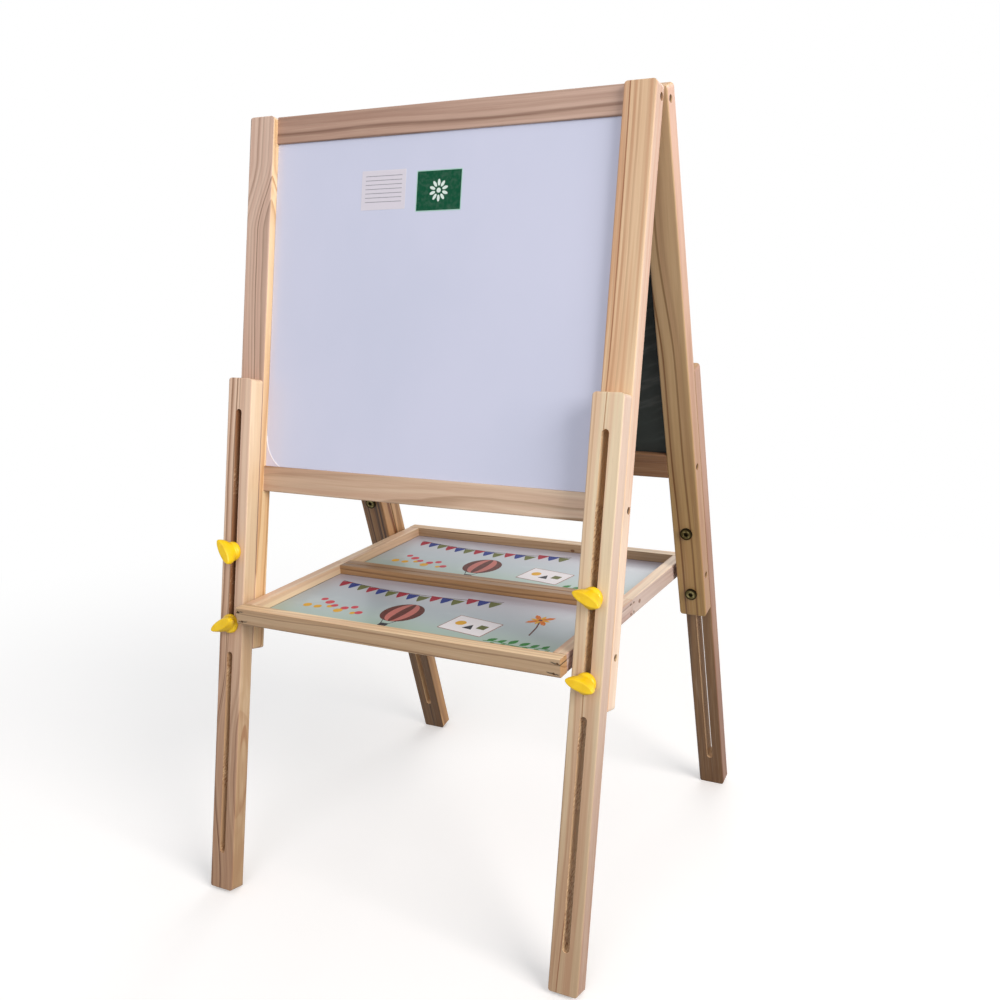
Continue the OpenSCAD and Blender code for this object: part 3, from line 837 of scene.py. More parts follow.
def disc(u: float, v: float, reach: float, tall: float = 0.0, count: int = 28) -> Outline:
    """Draws a circle or an oval.

    Args:
        u: its middle, to the right.
        v: its middle, up or back.
        reach: its half width.
        tall: its half height, or 0 for a circle.
        count: its corners.

    Returns:
        The outline.
    """
    turns = (2 * math.pi * i / count for i in range(count))
    return [(u + reach * math.cos(t), v + (tall or reach) * math.sin(t)) for t in turns]


def panel_shape(u: float, v: float, wide: float, tall: float, corner: float, turn: float = 0.0) -> Outline:
    """Draws a turned rectangle with round corners.

    Args:
        u: its middle, to the right.
        v: its middle, up or back.
        wide: its half width.
        tall: its half height.
        corner: the radius of its corners.
        turn: its turn in degrees.

    Returns:
        The outline.
    """
    points = []
    for k, (su, sv) in enumerate(((1, 1), (-1, 1), (-1, -1), (1, -1))):
        for p, q in (turned([(corner, 0)], 0, 0, 90 * k + 22.5 * i)[0] for i in range(5)):
            points.append((su * (wide - corner) + p, sv * (tall - corner) + q))
    return turned(points, u, v, turn)


def ribbon(path: Outline, width: float) -> Outline:
    """Draws a band along a path.

    Args:
        path: the path's points.
        width: the band's width.

    Returns:
        The outline.
    """
    left, right = [], []
    for i, (u, v) in enumerate(path):
        (u0, v0), (u1, v1) = path[max(i - 1, 0)], path[min(i + 1, len(path) - 1)]
        half = width / 2 / math.hypot(u1 - u0, v1 - v0)
        nu, nv = (v0 - v1) * half, (u1 - u0) * half
        left.append((u + nu, v + nv))
        right.append((u - nu, v - nv))
    return left + right[::-1]


class Repeat(Workbench):
    """A Geometry Nodes tree that sets copies of a shape in a row, an arc or a fan."""

    tree_name = "repeat_row"
    still = (0.0, 0.0, 0.0)
    sockets = {
        "Count": ("Int", 1), "Seed": ("Int", 1), "First": ("Vector", still), "Step": ("Vector", still),
        "Sag": ("Vector", still), "Axis": ("Vector", tuple(Z)), "Shift Spread": ("Vector", still),
        "Turn": ("Float", 0.0), "Turn Step": ("Float", 0.0), "Turn Spread": ("Float", 0.0),
        "Size": ("Float", 1.0), "Size Spread": ("Float", 0.0), "Material": ("Material", None),
    }

    def __init__(self) -> None:
        """Builds the tree once and takes it up again later."""
        known = bpy.data.node_groups.get(self.tree_name)
        super().__init__(known or bpy.data.node_groups.new(self.tree_name, "GeometryNodeTree"))
        if known is None:
            self.wire()

    def vector(self, way: str, first: Signal, second: Signal) -> Signal:
        """Adds one Vector Math node for two vectors, or for a vector and its scale."""
        inputs = {0: first, "Scale" if way == "SCALE" else 1: second}
        return self.signal("ShaderNodeVectorMath", inputs, operation=way)

    def scatter(self, seed: Signal) -> Signal:
        """Gives each copy its own number from -1 to 1."""
        return self.signal("FunctionNodeRandomValue", {2: -1.0, 3: 1.0, "Seed": seed}, 1, data_type="FLOAT")

    def wire(self) -> None:
        """Wires the tree, from its shape to its realized copies."""
        face = self.tree.interface
        face.new_socket("Shape", in_out="INPUT", socket_type="NodeSocketGeometry")
        for name, (kind, _) in self.sockets.items():
            face.new_socket(name, in_out="INPUT", socket_type=f"NodeSocket{kind}")
        face.new_socket("Row", in_out="OUTPUT", socket_type="NodeSocketGeometry")
        given = {socket.name: Signal(self, socket) for socket in self.node("NodeGroupInput").outputs}
        count, seed = given["Count"], given["Seed"]
        index = self.signal("GeometryNodeInputIndex")
        share = index / (count - 1).most(1)
        dip = share * (1 - share) * 4
        loose = self.signal("ShaderNodeCombineXYZ", {k: self.scatter(seed + (3 + k)) for k in range(3)})
        place = given["First"]
        for more in (
            self.vector("SCALE", given["Step"], index),
            self.vector("SCALE", given["Sag"], dip),
            self.vector("MULTIPLY", given["Shift Spread"], loose),
        ):
            place = self.vector("ADD", place, more)
        points = self.signal("GeometryNodePoints", {"Count": count, "Position": place})
        turn = given["Turn"] + given["Turn Step"] * index + given["Turn Spread"] * self.scatter(seed + 1)
        spin = self.signal("FunctionNodeAxisAngleToRotation", {"Axis": given["Axis"], "Angle": turn})
        size = given["Size"] * (1 + given["Size Spread"] * self.scatter(seed + 2))
        inputs = {"Points": points, "Instance": given["Shape"], "Rotation": spin, "Scale": size}
        copies = self.signal("GeometryNodeInstanceOnPoints", inputs)
        real = self.signal("GeometryNodeRealizeInstances", {"Geometry": copies})
        dressed = self.signal("GeometryNodeSetMaterial", {"Geometry": real, "Material": given["Material"]})
        self.node("NodeGroupOutput", {"Row": dressed})

    def lay(self, piece: bpy.types.Object, **values: object) -> None:
        """Turns a piece into one plain mesh of copies of itself.

        Args:
            piece: the shape, at the origin.
            values: the tree's inputs, with underscores for spaces.
        """
        row = piece.modifiers.new("row", "NODES")
        row.node_group = self.tree
        for socket in self.tree.interface.items_tree:
            if socket.name in self.sockets:
                value = values.get(socket.name.replace(" ", "_"), self.sockets[socket.name][1])
                row[socket.identifier] = tuple(value) if isinstance(value, Vector) else value
        bake_down(piece)


@dataclass
class Sheet:
    """A flat face of a body that prints and stickers lie on, measured in millimetres from its middle."""

    body: str
    stem: str
    centre: Vector
    back: Vector
    out: Vector
    rooted: float = 0.05

    def spot(self, u: float, v: float, lift: float = 0.0) -> Vector:
        """Gives the point u to the right, v up or back, and lift off the face, in metres."""
        return self.centre + (X * u + self.back * v + self.out * lift) * MM

    def way(self, u: float, v: float) -> Vector:
        """Gives a step along the face, in metres."""
        return (X * u + self.back * v) * MM

    def slab(self, name: str, outlines: Iterable[Outline], lift: float, loose: bool) -> bpy.types.Object:
        """Makes closed thin shapes.

        Args:
            name: what they show.
            outlines: lists of points on the face.
            lift: how far their top stands off the face.
            loose: whether they are left at the origin, for a repeat.

        Returns:
            The piece.
        """
        low, base = (0.0, self.centre) if loose else (-self.rooted, Vector())
        verts: list[Vector] = []
        faces: list[Sequence[int]] = []
        for outline in outlines:
            points = [self.spot(u, v, low) - base for u, v in outline]
            faces += closed(len(points), 2, len(verts))
            verts += points + [point + self.out * (lift - low) * MM for point in points]
        return new_piece(f"{self.stem}_{name}", verts, faces, smooth=False)

    def settle(self, piece: bpy.types.Object, slot: str = "print") -> str:
        """Ties a piece to its body.

        Args:
            piece: the finished piece.
            slot: the record's material slot; not used.

        Returns:
            The piece's name.
        """
        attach(piece, self.body)
        return piece.name

    def put(
        self, name: str, ink: Ink, outlines: Iterable[Outline], lift: float = INK_1, slot: str = "print"
    ) -> str:
        """Prints fixed shapes or sticks them on.

        Args:
            name: what they show.
            ink: their colour.
            outlines: the shapes.
            lift: how far they stand off the face.
            slot: the record's material slot.

        Returns:
            The piece's name.
        """
        piece = self.slab(name, outlines, lift, loose=False)
        wear(piece, ink.make())
        return self.settle(piece, slot)

    def row(
        self, name: str, ink: Ink, shape: Outline, first: tuple, lift: float = INK_1, **values: object
    ) -> str:
        """Prints a repeated shape.

        Args:
            name: what it shows.
            ink: its colour.
            shape: its outline, around 0.
            first: the first copy's place.
            lift: how far it stands off the face.
            values: the repeat's other inputs.

        Returns:
            The piece's name.
        """
        piece = self.slab(name, [shape], lift, loose=True)
        Repeat().lay(piece, First=self.spot(*first), Axis=self.out, Material=ink.make(), **values)
        return self.settle(piece)


# ---- sub-assemblies ----


@dataclass
class WoodenFrame:
    """Stiles, rails, legs and board of one side of the easel."""

    end: End
    half_batten: float = 0.310
    half_rail: float = 0.215

    def looks(self) -> dict[str, dict]:
        """Gives each wooden node its own cut and tone, with painted light on lit sides and painted shade on shaded
        faces and feet.

        Returns:
            The grain's fields, by node.
        """
        if self.end is End.FRONT:
            # Side tones are partly tone, partly painted light on the sides that face the lamps; the foot tones of
            # the legs and the left stile paint shade on their lower parts.
            return {
                "front_stile_left": dict(
                    face=("#DBBEAB", "#CEAB98", "#957663"), side=("#F8DDB2", "#EFC897", "#CFA070"),
                    pith=(0.062, 0.034), ring=0.0052, wander=0.006, contrast=1.0, seed=3.7, zoning=0.7,
                    foot_tone_and_shade="#F6ECE2", bends=((0.222, 0.042, -0.021), (0.02, 0.10, 0.006)),
                ),
                "front_stile_right": dict(
                    face=("#F3E2BE", "#DBB590", "#A97C56"), side=("#F5E8D8", "#EED3C0", "#CDA58C"),
                    pith=(0.085, 0.012), ring=0.0066, wander=0.008, contrast=0.9, seed=11.3, zone_rate=150.0,
                    head_tone_and_shade="#E8D3CA", foot_tone_and_shade="#FFF4EA", lines=((-0.0122, 0.002, 0.0011, 0.9),),
                ),
                "front_top_rail": dict(
                    face=("#C9AA99", "#B69685", "#856553"), pith=(0.075, 0.02), ring=0.0062, contrast=0.7,
                    seed=21.9, foot_tone_and_shade="#E4DAD4", lines=((-0.0055, -0.004, 0.0030, 0.5),),
                ),
                "front_lower_rail": dict(
                    face=("#E1C9B0", "#D2B39A", "#987859"), pith=(-0.02, 0.05), lean=0.03, ring=0.0058,
                    wander=0.014, contrast=0.95, seed=31.1, foot_tone_and_shade="#E3D8D1",
                ),
                "front_leg_left": dict(
                    face=("#E9CBB1", "#D6B299", "#8F664A"), side=("#F3DAB8", "#E8CAA4", "#CFA47C"),
                    pith=(0.07, 0.01), ring=0.0062, contrast=1.1, seed=41.7, foot_tone_and_shade="#BCAD9D",
                    slotted=True, scorch_and_shade=(0.30, 0.80), flames=((-0.160, -0.0008, 0.054, 0.0080),),
                    lines=((-0.0040, 0.0, 0.0013, 0.8),),
                    bends=((-0.232, 0.072, 0.013), (-0.075, 0.045, -0.011)),
                ),
                "front_leg_right": dict(
                    face=("#EAD7B6", "#DCBA9A", "#B58A66"), side=("#E4CBB9", "#D2AD97", "#A97E67"),
                    pith=(-0.09, 0.03), ring=0.0080, contrast=0.6, seed=51.3, zone_rate=100.0,
                    foot_tone_and_shade="#C7B9AF", slotted=True, scorch_and_shade=(0.10, -0.05),
                    rough=((-0.034, 0.022), (-0.222, 0.050), (0.165, 0.045)),
                    lines=((-0.0030, -0.006, 0.0010, 0.9),),
                ),
            }
        # Most face tones of the rear frame are darkened with painted shade on the inner faces under the easel;
        # sunny holds the same pine unshaded for the outward faces.
        sunny = ("#DDC19C", "#C9A682", "#936C48")
        return {
            "rear_stile_left": dict(
                face=("#C2A57E", "#A98864", "#4E3520"), side=("#F5D3A8", "#E4B98B", "#9E6C40"), outer=sunny,
                pith=(0.06, -0.02), ring=0.0060, contrast=1.5, seed=61.9, foot_tone_and_shade="#CDB7A4",
                lines=((0.0040, 0.0, 0.0022, 0.7), (-0.0080, 0.002, 0.0016, 0.6)),
            ),
            "rear_stile_right": dict(
                face=("#E3C297", "#CDA682", "#916842"), side=("#E7BFA9", "#D1A089", "#A16951"),
                pith=(0.09, -0.01), ring=0.0100, wander=0.004, contrast=0.25, seed=71.3, zoning=0.6,
                zone_rate=90.0, foot_tone_and_shade="#C6BB9B", bends=((0.10, 0.075, 0.0085), (-0.16, 0.10, 0.003)),
                lines=((-0.0085, 0.0, 0.0016, 0.75), (0.0052, 0.003, 0.0018, 0.75)),
            ),
            "rear_top_rail": dict(
                face=("#D2B48C", "#BE9A78", "#86603D"), side=("#DFC2AE", "#CDA68C", "#A5765A"),
                pith=(0.06, 0.03), ring=0.0065, seed=81.1,
            ),
            "rear_lower_rail": dict(
                face=("#9A7252", "#855F43", "#553825"), outer=sunny,
                pith=(0.05, 0.04), ring=0.0056, seed=91.7,
            ),
            "rear_leg_left": dict(
                face=("#856849", "#73573D", "#3D2717"), side=("#E6BF93", "#CFA075", "#86592F"), outer=sunny,
                pith=(-0.07, 0.02), ring=0.0070, contrast=1.4, seed=101.3, foot_tone_and_shade="#DCCDB6", slotted=True,
            ),
            "rear_leg_right": dict(
                face=("#A38461", "#907050", "#5C4027"), side=("#BF9781", "#A97C66", "#784736"),
                outer=("#E6CCA8", "#D6B390", "#9C7450"), pith=(0.08, 0.02), ring=0.0080, seed=111.9,
                foot_tone_and_shade="#B5A085", slotted=True,
            ),
        }

    def dress(self) -> list[str]:
        """Finishes every wooden piece and the board of this frame.

        Returns:
            The names of the finished pieces.
        """
        lines = Lines(self.end)
        looks = self.looks()
        for node, look in looks.items():
            level = "rail" in node
            along, across = (X, lines.up) if level else (lines.up, X)
            half = self.half_rail if level else self.half_batten
            Pine().dress(frame["nodes"][node], Grain(middle_of(node), along, across, lines.out, half, **look))
        if self.end is End.FRONT:
            board, coat = "white_board", CoatedBoard("white_coat", "#D2D6EC", "#CED3E9", 0.2, 0.25)
        else:
            board, coat = "chalk_board", CoatedBoard("chalk_coat", "#1D2422", "#262D2B", 0.62, 0.0, chalk=0.4)
        coat.dress(frame["nodes"][board], lines)
        return [*looks, board]


@dataclass
class BoardLabels:
    """The blank label, the green sticker and the film corner on the white board, in millimetres."""

    label: tuple = (-66.0, 127.0, 29.0, 21.0)
    label_lift: float = 0.12
    rules: int = 7
    rule_pitch: float = 4.6
    rule_head: float = 15.0
    rule_inset: float = 5.0
    rule_lift: float = 0.17
    sticker: tuple = (5.5, 123.5, 28.5, 21.5)
    sticker_rim: float = 1.0
    petals: int = 10
    petal: tuple = (8.2, 1.7, 3.6, 16)
    heart: float = 2.6
    film_corner: tuple = (-214.9, -183.9)
    film_reach: tuple = (21, 35)
    film_lift: float = 0.45

    def dress(self) -> list[str]:
        """Sticks everything on the board's drawing face.

        Returns:
            The names of the pieces.
        """
        lines, centre = Lines(End.FRONT), middle_of("white_board")
        skin = max((v.co - centre).dot(lines.out) for v in frame["nodes"]["white_board"].data.vertices)
        face = Sheet("front_frame", "board", centre + lines.out * skin, lines.up, lines.out)
        u, v, wide, tall = self.label
        rule = panel_shape(0, 0, wide - self.rule_inset, 0.3, 0.2)
        first_rule = (u, v + self.rule_head)
        rules = dict(Count=self.rules, Step=face.way(0, -self.rule_pitch))
        p, q, half, high = self.sticker
        inner = panel_shape(p, q, half - self.sticker_rim, high - self.sticker_rim, 0.6)
        petals = dict(Count=self.petals, Turn_Step=2 * math.pi / self.petals)
        (left, foot), (right, head) = self.film_corner, self.film_reach
        curve = [(left + right * t**1.9, foot + head * (1 - t) ** 1.25) for t in (i / 20 for i in range(21))]
        return [
            face.put("label", Ink.LABEL_PAPER, [panel_shape(u, v, wide, tall, 1.0)], self.label_lift),
            face.row("label_rules", Ink.RULE_GREY, rule, first_rule, self.rule_lift, **rules),
            face.put("sticker_edge", Ink.STICKER_EDGE, [panel_shape(p, q, half, high, 0.8)]),
            face.put("sticker", Ink.STICKER_GREEN, [inner], INK_2),
            face.row("sticker_rosette", Ink.STICKER_PALE, disc(0, *self.petal), (p, q), INK_3, **petals),
            face.put("sticker_round", Ink.STICKER_PALE, [disc(p, q, self.heart, count=20)], INK_3),
            face.put("film_corner", Ink.FILM_SKIN, [[self.film_corner] + curve[::-1]], slot="white_coat"),
            face.put("film_rim", Ink.FILM_RIM, [ribbon(curve, 1.1)], self.film_lift, "white_coat"),
        ]


@dataclass
class WingNuts:
    """The yellow nuts that clamp the legs, in millimetres.

    A level is a distance from the leg, half a length along the wing and half a thickness.
    """

    levels: tuple = (
        (0.0, 11.0, 11.0), (0.15, 11.5, 11.5), (1.8, 11.6, 11.6), (3.6, 11.3, 11.3), (4.7, 10.5, 10.3),
        (5.4, 10.2, 9.2), (6.0, 10.9, 8.5), (7.4, 13.1, 8.1), (9.6, 14.9, 7.8), (12.5, 15.8, 7.3),
        (15.5, 16.1, 6.5), (17.6, 16.1, 5.7), (18.3, 15.9, 5.4), (18.8, 15.2, 4.7), (18.95, 14.4, 4.2),
        (18.85, 9.0, 2.4),
    )
    bore: float = 4.85
    bore_end: float = 13.2
    sides: int = 48

    def build(self, node: str, shade: bpy.types.Material) -> str:
        """Makes one nut over its CAD solid, turned as the solid is.

        Args:
            node: the CAD nut it replaces, and the body it rides on.
            shade: its plastic.

        Returns:
            The finished nut's name.
        """
        joint = next(joint for joint in frame["joints"] if joint["child"] == node)
        axis, foot = Vector(joint["axis"]).normalized(), Vector(joint["pos_m"])
        spots = [v.co - foot for v in frame["nodes"][node].data.vertices]
        origin = foot + axis * min(spot.dot(axis) for spot in spots)
        flats = (spot - axis * spot.dot(axis) for spot in spots)
        wing = max(flats, key=lambda flat: flat.length).normalized()
        side = axis.cross(wing)
        loops = ((self.bore_end, self.bore, self.bore), (0.0, self.bore, self.bore), *self.levels)
        turns = [2 * math.pi * i / self.sides for i in range(self.sides)]
        verts = [
            origin + (wing * long * math.cos(turn) + side * thick * math.sin(turn) + axis * height) * MM
            for height, long, thick in loops for turn in turns
        ]
        nut = new_piece(f"{node}_moulded", verts, closed(self.sides, len(loops)))
        soften = nut.modifiers.new("soften", "SUBSURF")
        soften.levels = soften.render_levels = 1
        bake_down(nut)
        wear(nut, shade)
        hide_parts(node)
        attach(nut, node)
        return nut.name

    def dress(self) -> list[str]:
        """Makes all eight nuts and gives their names."""
        shade = NutPlastic().make()
        return [self.build(node, shade) for node in sorted(frame["nodes"]) if node.startswith("nut_")]


@dataclass
class Shelf:
    """The folding shelf: rails, printed panels and their motifs."""

    splits: tuple = ((0.2062, 0.005), (0.2016, -0.0064))

    def looks(self) -> dict[str, dict]:
        """Gives each rail its own cut and tone, with painted light on the tops and painted shade on some faces.

        Returns:
            The grain's fields, by node.
        """
        # For the rails, side tones go on the top and bottom faces: lighter than the face tones, they are painted
        # light on the tops as well as tone; the darker front rail faces and the shady mid rails carry painted
        # shade.
        sand = dict(face=("#EACFAC", "#D8B393", "#966E4C"), side=("#F3D9BA", "#DDB392", "#9A7050"))
        pinkish = dict(sand, face=("#CFBBB1", "#BE9E93", "#86665A"))
        lit_top_dim_face = dict(
            face=("#BEA180", "#AF8E6C", "#7A5B3B"), side=("#F6DAB2", "#E3BC93", "#AE845A"), splits=self.splits
        )
        shady = dict(face=("#AC845A", "#977149", "#624226"))
        front = {
            "rail": dict(lit_top_dim_face, pith=(0.05, 0.02), ring=0.0034, seed=5.1, contrast=0.7),
            "mid_rail": dict(shady, pith=(0.06, -0.03), ring=0.0050, seed=15.7),
            "side_left": dict(sand, pith=(-0.06, 0.04), ring=0.0053, seed=25.3),
            "side_right": dict(pinkish, pith=(0.07, 0.02), ring=0.0049, seed=35.9),
        }
        rear = {
            "rail": dict(lit_top_dim_face, pith=(0.06, 0.03), ring=0.0047, seed=45.1, knots=((0.052, 0.001, 0.0022),)),
            "mid_rail": dict(shady, pith=(-0.05, 0.03), ring=0.0052, seed=55.7),
            "side_left": dict(sand, pith=(0.05, -0.03), ring=0.0050, seed=65.3),
            "side_right": dict(
                pinkish, pith=(0.06, 0.05), ring=0.0055, seed=75.9, knots=((-0.066, 0.001, 0.0026),)
            ),
        }
        looks = {}
        for end, rails in ((End.FRONT, front), (End.REAR, rear)):
            looks.update({f"shelf_{end.value}_{rail}": look for rail, look in rails.items()})
        return looks

    def dress(self) -> list[str]:
        """Finishes both halves of the shelf.

        Returns:
            The names of the finished pieces.
        """
        done = []
        for node, look in self.looks().items():
            low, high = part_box(node)
            along, depth = (Y, X) if "side" in node else (X, Y)
            grain = Grain(middle_of(node), along, Z, depth, (high - low).dot(along) / 2, **look)
            Pine().dress(frame["nodes"][node], grain)
            done.append(node)
        for half in End:
            done += [PrintedPanel().dress(half), *ShelfPrint(half).dress()]
        return done


@dataclass
class ShelfPrint:
    """The plain motifs printed on one shelf panel, in millimetres from its middle."""

    half: End
    sheet: Sheet = field(init=False)
    string_start: tuple = (-172.0, 60.0)
    string_sag: float = 52.0
    flag_start: tuple = (-164.0, 57.68)
    flag_pitch: float = 15.5
    flag_drop: float = 2.6
    flag_sag: float = 10.4
    flag_inks: tuple = (Ink.PRINT_RED, Ink.PRINT_BLUE, Ink.PRINT_OLIVE)
    wheel: tuple = (128.0, 22.0)
    leaf_seeds: dict = field(default_factory=lambda: {End.FRONT: 7, End.REAR: 8})
    balloon_at: tuple = (-34.0, -14.0)
    balloon_size: tuple = (25.0, 29.0)
    card_at: tuple = (62.0, -22.0, -9.0)

    def __post_init__(self) -> None:
        """Finds the panel's upper face."""
        shelf = f"shelf_{self.half.value}"
        centre = middle_of(f"{shelf}_panel")
        centre.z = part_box(f"{shelf}_panel")[1].z
        self.sheet = Sheet(f"{self.half.value}_shelf", shelf, centre, Y, Z)

    def dress(self) -> list[str]:
        """Prints every motif and gives the names of the pieces."""
        return self.bunting() + self.pinwheel() + self.leaves() + self.dots() + self.balloon() + self.card()

    def bunting(self) -> list[str]:
        """Prints flags of three colours in turn on a sagging string.

        Returns:
            The names of the pieces.
        """
        flag = [(-8, 0), (8, 0), (5.0, -9), (1.2, -17), (0, -18), (-1.2, -17), (-5.0, -9)]
        left, top = self.string_start
        pitch, shares = self.flag_pitch, [i / 15 for i in range(16)]
        line = [(left + 15 * pitch * share, top - self.string_sag * share * (1 - share)) for share in shares]
        done = [self.sheet.put("string", Ink.PRINT_STRING, [ribbon(line, 1.2)])]
        for k, ink in enumerate(self.flag_inks):
            name = ink.name.lower().replace("print", "flags")
            first = (self.flag_start[0] + pitch * k, self.flag_start[1] - self.flag_drop * k)
            step = self.sheet.way(pitch * len(self.flag_inks), 0.55 * k - 0.3)
            sag = self.sheet.way(0, -self.flag_sag)
            done.append(self.sheet.row(name, ink, flag, first, INK_2, Count=5, Step=step, Sag=sag))
        return done

    def pinwheel(self) -> list[str]:
        """Prints a pinwheel with its stick.

        Returns:
            The names of the pieces.
        """
        sheet, (u, v) = self.sheet, self.wheel
        blade = [(0, 0), (2.5, 6), (7.5, 10.5), (13.5, 11.5), (12, 6.5), (7, 2.5)]
        stick = ribbon([(u, v), (u + 6, v - 22), (u + 9, v - 46)], 1.8)
        cross = dict(Count=4, Turn_Step=math.pi / 2)
        small = dict(cross, Turn=math.pi / 4, Size=0.72)
        return [
            sheet.put("pinwheel_stick", Ink.PRINT_BROWN, [stick]),
            sheet.row("pinwheel_red", Ink.PRINT_ORANGE, blade, self.wheel, INK_2, **cross),
            sheet.row("pinwheel_yellow", Ink.PRINT_YELLOW, blade, self.wheel, INK_2, **small),
            sheet.put("pinwheel_hub", Ink.PRINT_BROWN, [disc(u, v, 2.4, count=16)], INK_3),
        ]

    def leaves(self) -> list[str]:
        """Prints a leafy vine near the right front corner.

        Returns:
            The names of the pieces.
        """
        sheet, seed, lean = self.sheet, self.leaf_seeds[self.half], 0.65
        leaf = [(0, 0), (2.6, 2.6), (3.6, 6), (2.6, 9.6), (0, 13), (-2.6, 9.6), (-3.6, 6), (-2.6, 2.6)]
        vine = [(97 + 8 * i, -55 + 2.2 * math.sin(i * 0.9)) for i in range(11)]
        loose = dict(Count=6, Step=sheet.way(13.2, 0), Turn_Spread=0.2, Size_Spread=0.12)
        upper, lower = dict(loose, Turn=-lean, Seed=seed), dict(loose, Turn=math.pi + lean, Seed=seed + 2)
        return [
            sheet.put("vine", Ink.PRINT_GREEN, [ribbon(vine, 1.3)]),
            sheet.row("leaves_upper", Ink.PRINT_GREEN, leaf, (101, -54), **upper),
            sheet.row("leaves_lower", Ink.PRINT_GREEN, leaf, (107, -56), **lower),
        ]

    def dots(self) -> list[str]:
        """Prints two rows of loose dots.

        Returns:
            The names of the pieces.
        """
        sheet = self.sheet
        loose = dict(Size_Spread=0.3, Shift_Spread=sheet.way(3, 6))
        rose, gold = (disc(0, 0, reach, count=18) for reach in (4.4, 5.0))
        first, second = dict(loose, Count=6, Seed=3), dict(loose, Count=5, Seed=4)
        return [
            sheet.row("dots_rose", Ink.PRINT_ROSE, rose, (-152, -10), Step=sheet.way(14, -3.5), **first),
            sheet.row("dots_yellow", Ink.PRINT_YELLOW, gold, (-160, -28), Step=sheet.way(17, -2.0), **second),
        ]

    def balloon(self) -> list[str]:
        """Prints a striped balloon with its basket.

        Returns:
            The names of the pieces.
        """
        (u, v), (wide, tall) = self.balloon_at, self.balloon_size
        sweep = [math.pi * (i / 14 - 0.5) for i in range(15)]
        seams = [
            [(u + wide * seam * math.cos(t), v + tall * math.sin(t)) for t in sweep]
            for seam in (-1.0, -0.62, -0.22, 0.22, 0.62, 1.0)
        ]
        gores = [left[::-1] + right[1:-1] for left, right in zip(seams, seams[1:])]
        basket = [panel_shape(u, v - tall - 11, 5.5, 4.2, 1.0)]
        ropes = [ribbon([(u + s * 9, v - tall * 0.93), (u + s * 5, v - tall - 8)], 0.9) for s in (-1, 1)]
        return [
            self.sheet.put("balloon_dark", Ink.PRINT_BROWN, gores[::2]),
            self.sheet.put("balloon_pale", Ink.PRINT_PINK, gores[1::2]),
            self.sheet.put("balloon_basket", Ink.PRINT_SLATE, basket + ropes),
        ]

    def card(self) -> list[str]:
        """Prints a white card with a round, a wedge and a block.

        Returns:
            The names of the pieces.
        """
        put, (u, v, turn) = self.sheet.put, self.card_at
        dot, block, *wedge = turned([(-15, 2), (16, 2), (-5, -9), (8, -9), (1.5, 4)], *self.card_at)
        return [
            put("card_edge", Ink.PRINT_EDGE, [panel_shape(u, v, 31, 22, 1.5, turn)]),
            put("card", Ink.PRINT_WHITE, [panel_shape(u, v, 29.6, 20.6, 1.0, turn)], INK_2),
            put("card_round", Ink.PRINT_YELLOW, [disc(*dot, 6.5)], INK_3),
            put("card_wedge", Ink.PRINT_SLATE, [wedge], INK_3),
            put("card_block", Ink.PRINT_OLIVE, [panel_shape(*block, 5.5, 5.5, 0.6, turn)], INK_3),
        ]


@dataclass
class Hardware:
    """Bolts, screws, hinges, nails, inserts and spacers."""

    zinc: Metal = Metal("zinc_plating", "#D3D5D6", "#A7A9AA", 0.32)
    # The dark steel's brown colour partly paints the shade inside the screw holes.
    dark: Metal = Metal("dark_steel", "#6B5442", "#3A2A20", 0.5)
    brass: Metal = Metal("brass_plating", "#A88C50", "#5F4E2C", 0.36)

    def dress(self) -> list[str]:
        """Finishes every metal and nylon node.

        Returns:
            The names of the finished nodes.
        """
        bolts = {f"{end.value}_bolts": BoltPlatingAndHighlight(end).make() for end in End}
        finishes = {"brassed": self.brass, "zinc": self.zinc, "dark_steel": self.dark, "nylon": Nylon()}
        shades = {slot: finish.make() for slot, finish in finishes.items()}
        done = []
        for entry in frame["record"]["subparts"]:
            shade = bolts.get(entry["node"]) or shades.get(entry["material_slot"])
            if shade is not None:
                wear(frame["nodes"][entry["node"]], shade)
                done.append(entry["node"])
        return done


# ---- light and camera ----


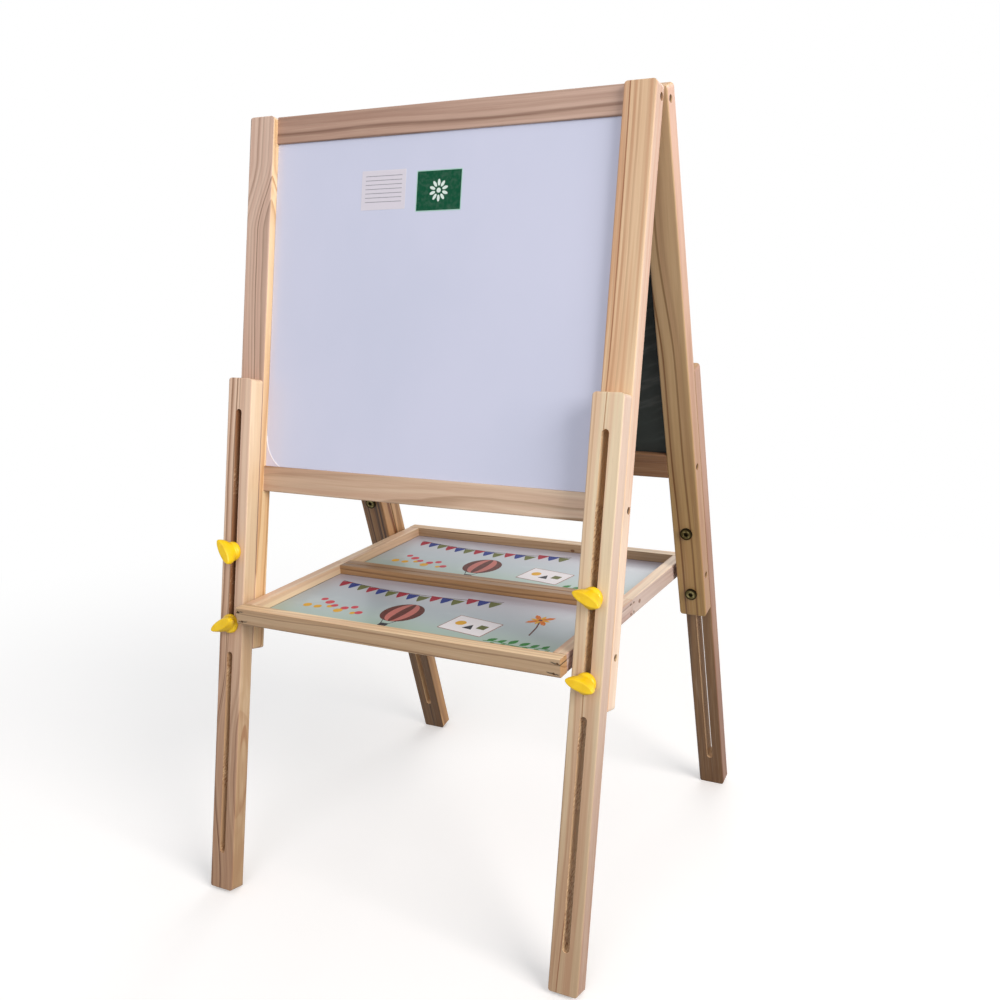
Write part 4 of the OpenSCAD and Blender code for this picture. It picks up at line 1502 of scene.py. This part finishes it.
@dataclass
class Studio:
    """Floor, lights and camera, in metres and degrees."""

    eye: Vector = Vector((0.64924, -1.0768, 0.7666))
    yaw: float = 27.64
    pitch: float = -18.66
    roll: float = -2.24
    focal: float = 38.65
    shift: tuple = (-0.03525, 0.08418)
    aim: Vector = Vector((0, 0, 0.5))
    ambient: float = 0.46
    floor_reach: float = 6.0
    floor_fade: tuple = (0.55, 1.7)
    floor_pale: float = 0.86
    floor_glow: float = 0.25
    bounce: float = 0.3

    def camera(self) -> None:
        """Stands the camera before the right front corner."""
        yaw, pitch, roll = (math.radians(v) for v in (self.yaw, self.pitch, self.roll))
        ahead = Vector((-math.sin(yaw) * math.cos(pitch), math.cos(yaw) * math.cos(pitch), math.sin(pitch)))
        level = Vector((math.cos(yaw), math.sin(yaw), 0))
        top = level.cross(ahead)
        right = level * math.cos(roll) + top * math.sin(roll)
        up = top * math.cos(roll) - level * math.sin(roll)
        lens = bpy.data.cameras.new("camera")
        lens.sensor_width = 36.0
        lens.lens = self.focal
        lens.shift_x, lens.shift_y = self.shift
        lens.clip_start, lens.clip_end = 0.05, 50.0
        holder = link("camera", lens)
        holder.matrix_world = Matrix.Translation(self.eye) @ Matrix((right, up, -ahead)).transposed().to_4x4()
        bpy.context.scene.camera = holder

    def lamp(self, name: str, at: Vector, size: float, power: float, colour: str) -> None:
        """Adds one soft area light that looks at the easel.

        Args:
            name: the lamp's name.
            at: its place.
            size: the side of its square.
            power: its power in watts.
            colour: its hex colour.
        """
        data = bpy.data.lights.new(name, "AREA")
        data.shape, data.size, data.energy, data.color = "SQUARE", size, power, paint(colour)
        turn = (self.aim - at).to_track_quat("-Z", "Y").to_matrix().to_4x4()
        link(name, data).matrix_world = Matrix.Translation(at) @ turn

    @staticmethod
    def shown(bench: Workbench) -> Signal:
        """Marks what the camera, a gloss or a glass looks at.

        Args:
            bench: the tree in hand.

        Returns:
            1 where it is looked at, 0 where it only lights.
        """
        path = bench.node("ShaderNodeLightPath")
        rays = ("Camera", "Glossy", "Transmission")
        camera, glossy, glass = (Signal(bench, path.outputs[f"Is {ray} Ray"]) for ray in rays)
        return camera.most(glossy).most(glass)

    def surroundings(self) -> None:
        """Makes a pale world that lights softly and shows white."""
        world = bpy.data.worlds.new("surroundings")
        bpy.context.scene.world = world
        world.use_nodes = True
        bench = Workbench(world.node_tree)
        bench.tree.nodes.clear()
        level = self.shown(bench) * (1 - self.ambient) + self.ambient
        glow = bench.signal("ShaderNodeBackground", {"Color": WHITE, "Strength": level})
        bench.node("ShaderNodeOutputWorld", {"Surface": glow})

    def floor(self) -> None:
        """Lays a pale floor that keeps the easel's soft shadow and has no far edge."""
        reach = self.floor_reach
        corners = [(-reach, -reach, 0), (reach, -reach, 0), (reach, reach, 0), (-reach, reach, 0)]
        plane = new_piece("floor", corners, [range(4)])
        bench = Bench("floor_paper")
        x, y = bench.measure(X, Y)
        away = (x * x + y * y).root().rise(*self.floor_fade)
        pale, quiet = (
            bench.signal("ShaderNodeBsdfDiffuse", {"Color": (grey,) * 3})
            for grey in (self.floor_pale, self.bounce)
        )
        glow, white = (
            bench.signal("ShaderNodeEmission", {"Color": WHITE, "Strength": level})
            for level in (self.floor_glow, 1.0)
        )
        near = bench.signal("ShaderNodeAddShader", {0: pale, 1: glow})
        seen = bench.signal("ShaderNodeMixShader", {0: away, 1: near, 2: white})
        choice = bench.signal("ShaderNodeMixShader", {0: self.shown(bench), 1: quiet, 2: seen})
        bench.node("ShaderNodeOutputMaterial", {"Surface": choice})
        wear(plane, bench.material)

    def build(self) -> None:
        """Sets up camera, floor and lights."""
        bpy.context.scene.view_settings.view_transform = "Standard"
        self.camera()
        self.surroundings()
        self.floor()
        self.lamp("key", Vector((4.8, -1.8, 2.9)), 3.0, 252, "#FFF8F2")
        self.lamp("fill", Vector((1.0, -4.9, 2.75)), 3.0, 68, "#F8F7FF")
        self.lamp("back", Vector((-0.4, 3.8, 2.6)), 2.6, 42, "#FFFFFF")


def main() -> None:
    """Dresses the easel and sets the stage."""
    logging.basicConfig(level=logging.INFO, format="%(message)s")
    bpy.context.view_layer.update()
    for crew in (*map(WoodenFrame, End), BoardLabels(), WingNuts(), Shelf(), Hardware()):
        LOG.info("%s: %s", type(crew).__name__, ", ".join(crew.dress()))
    Studio().build()


if __name__ == "__main__":
    main()
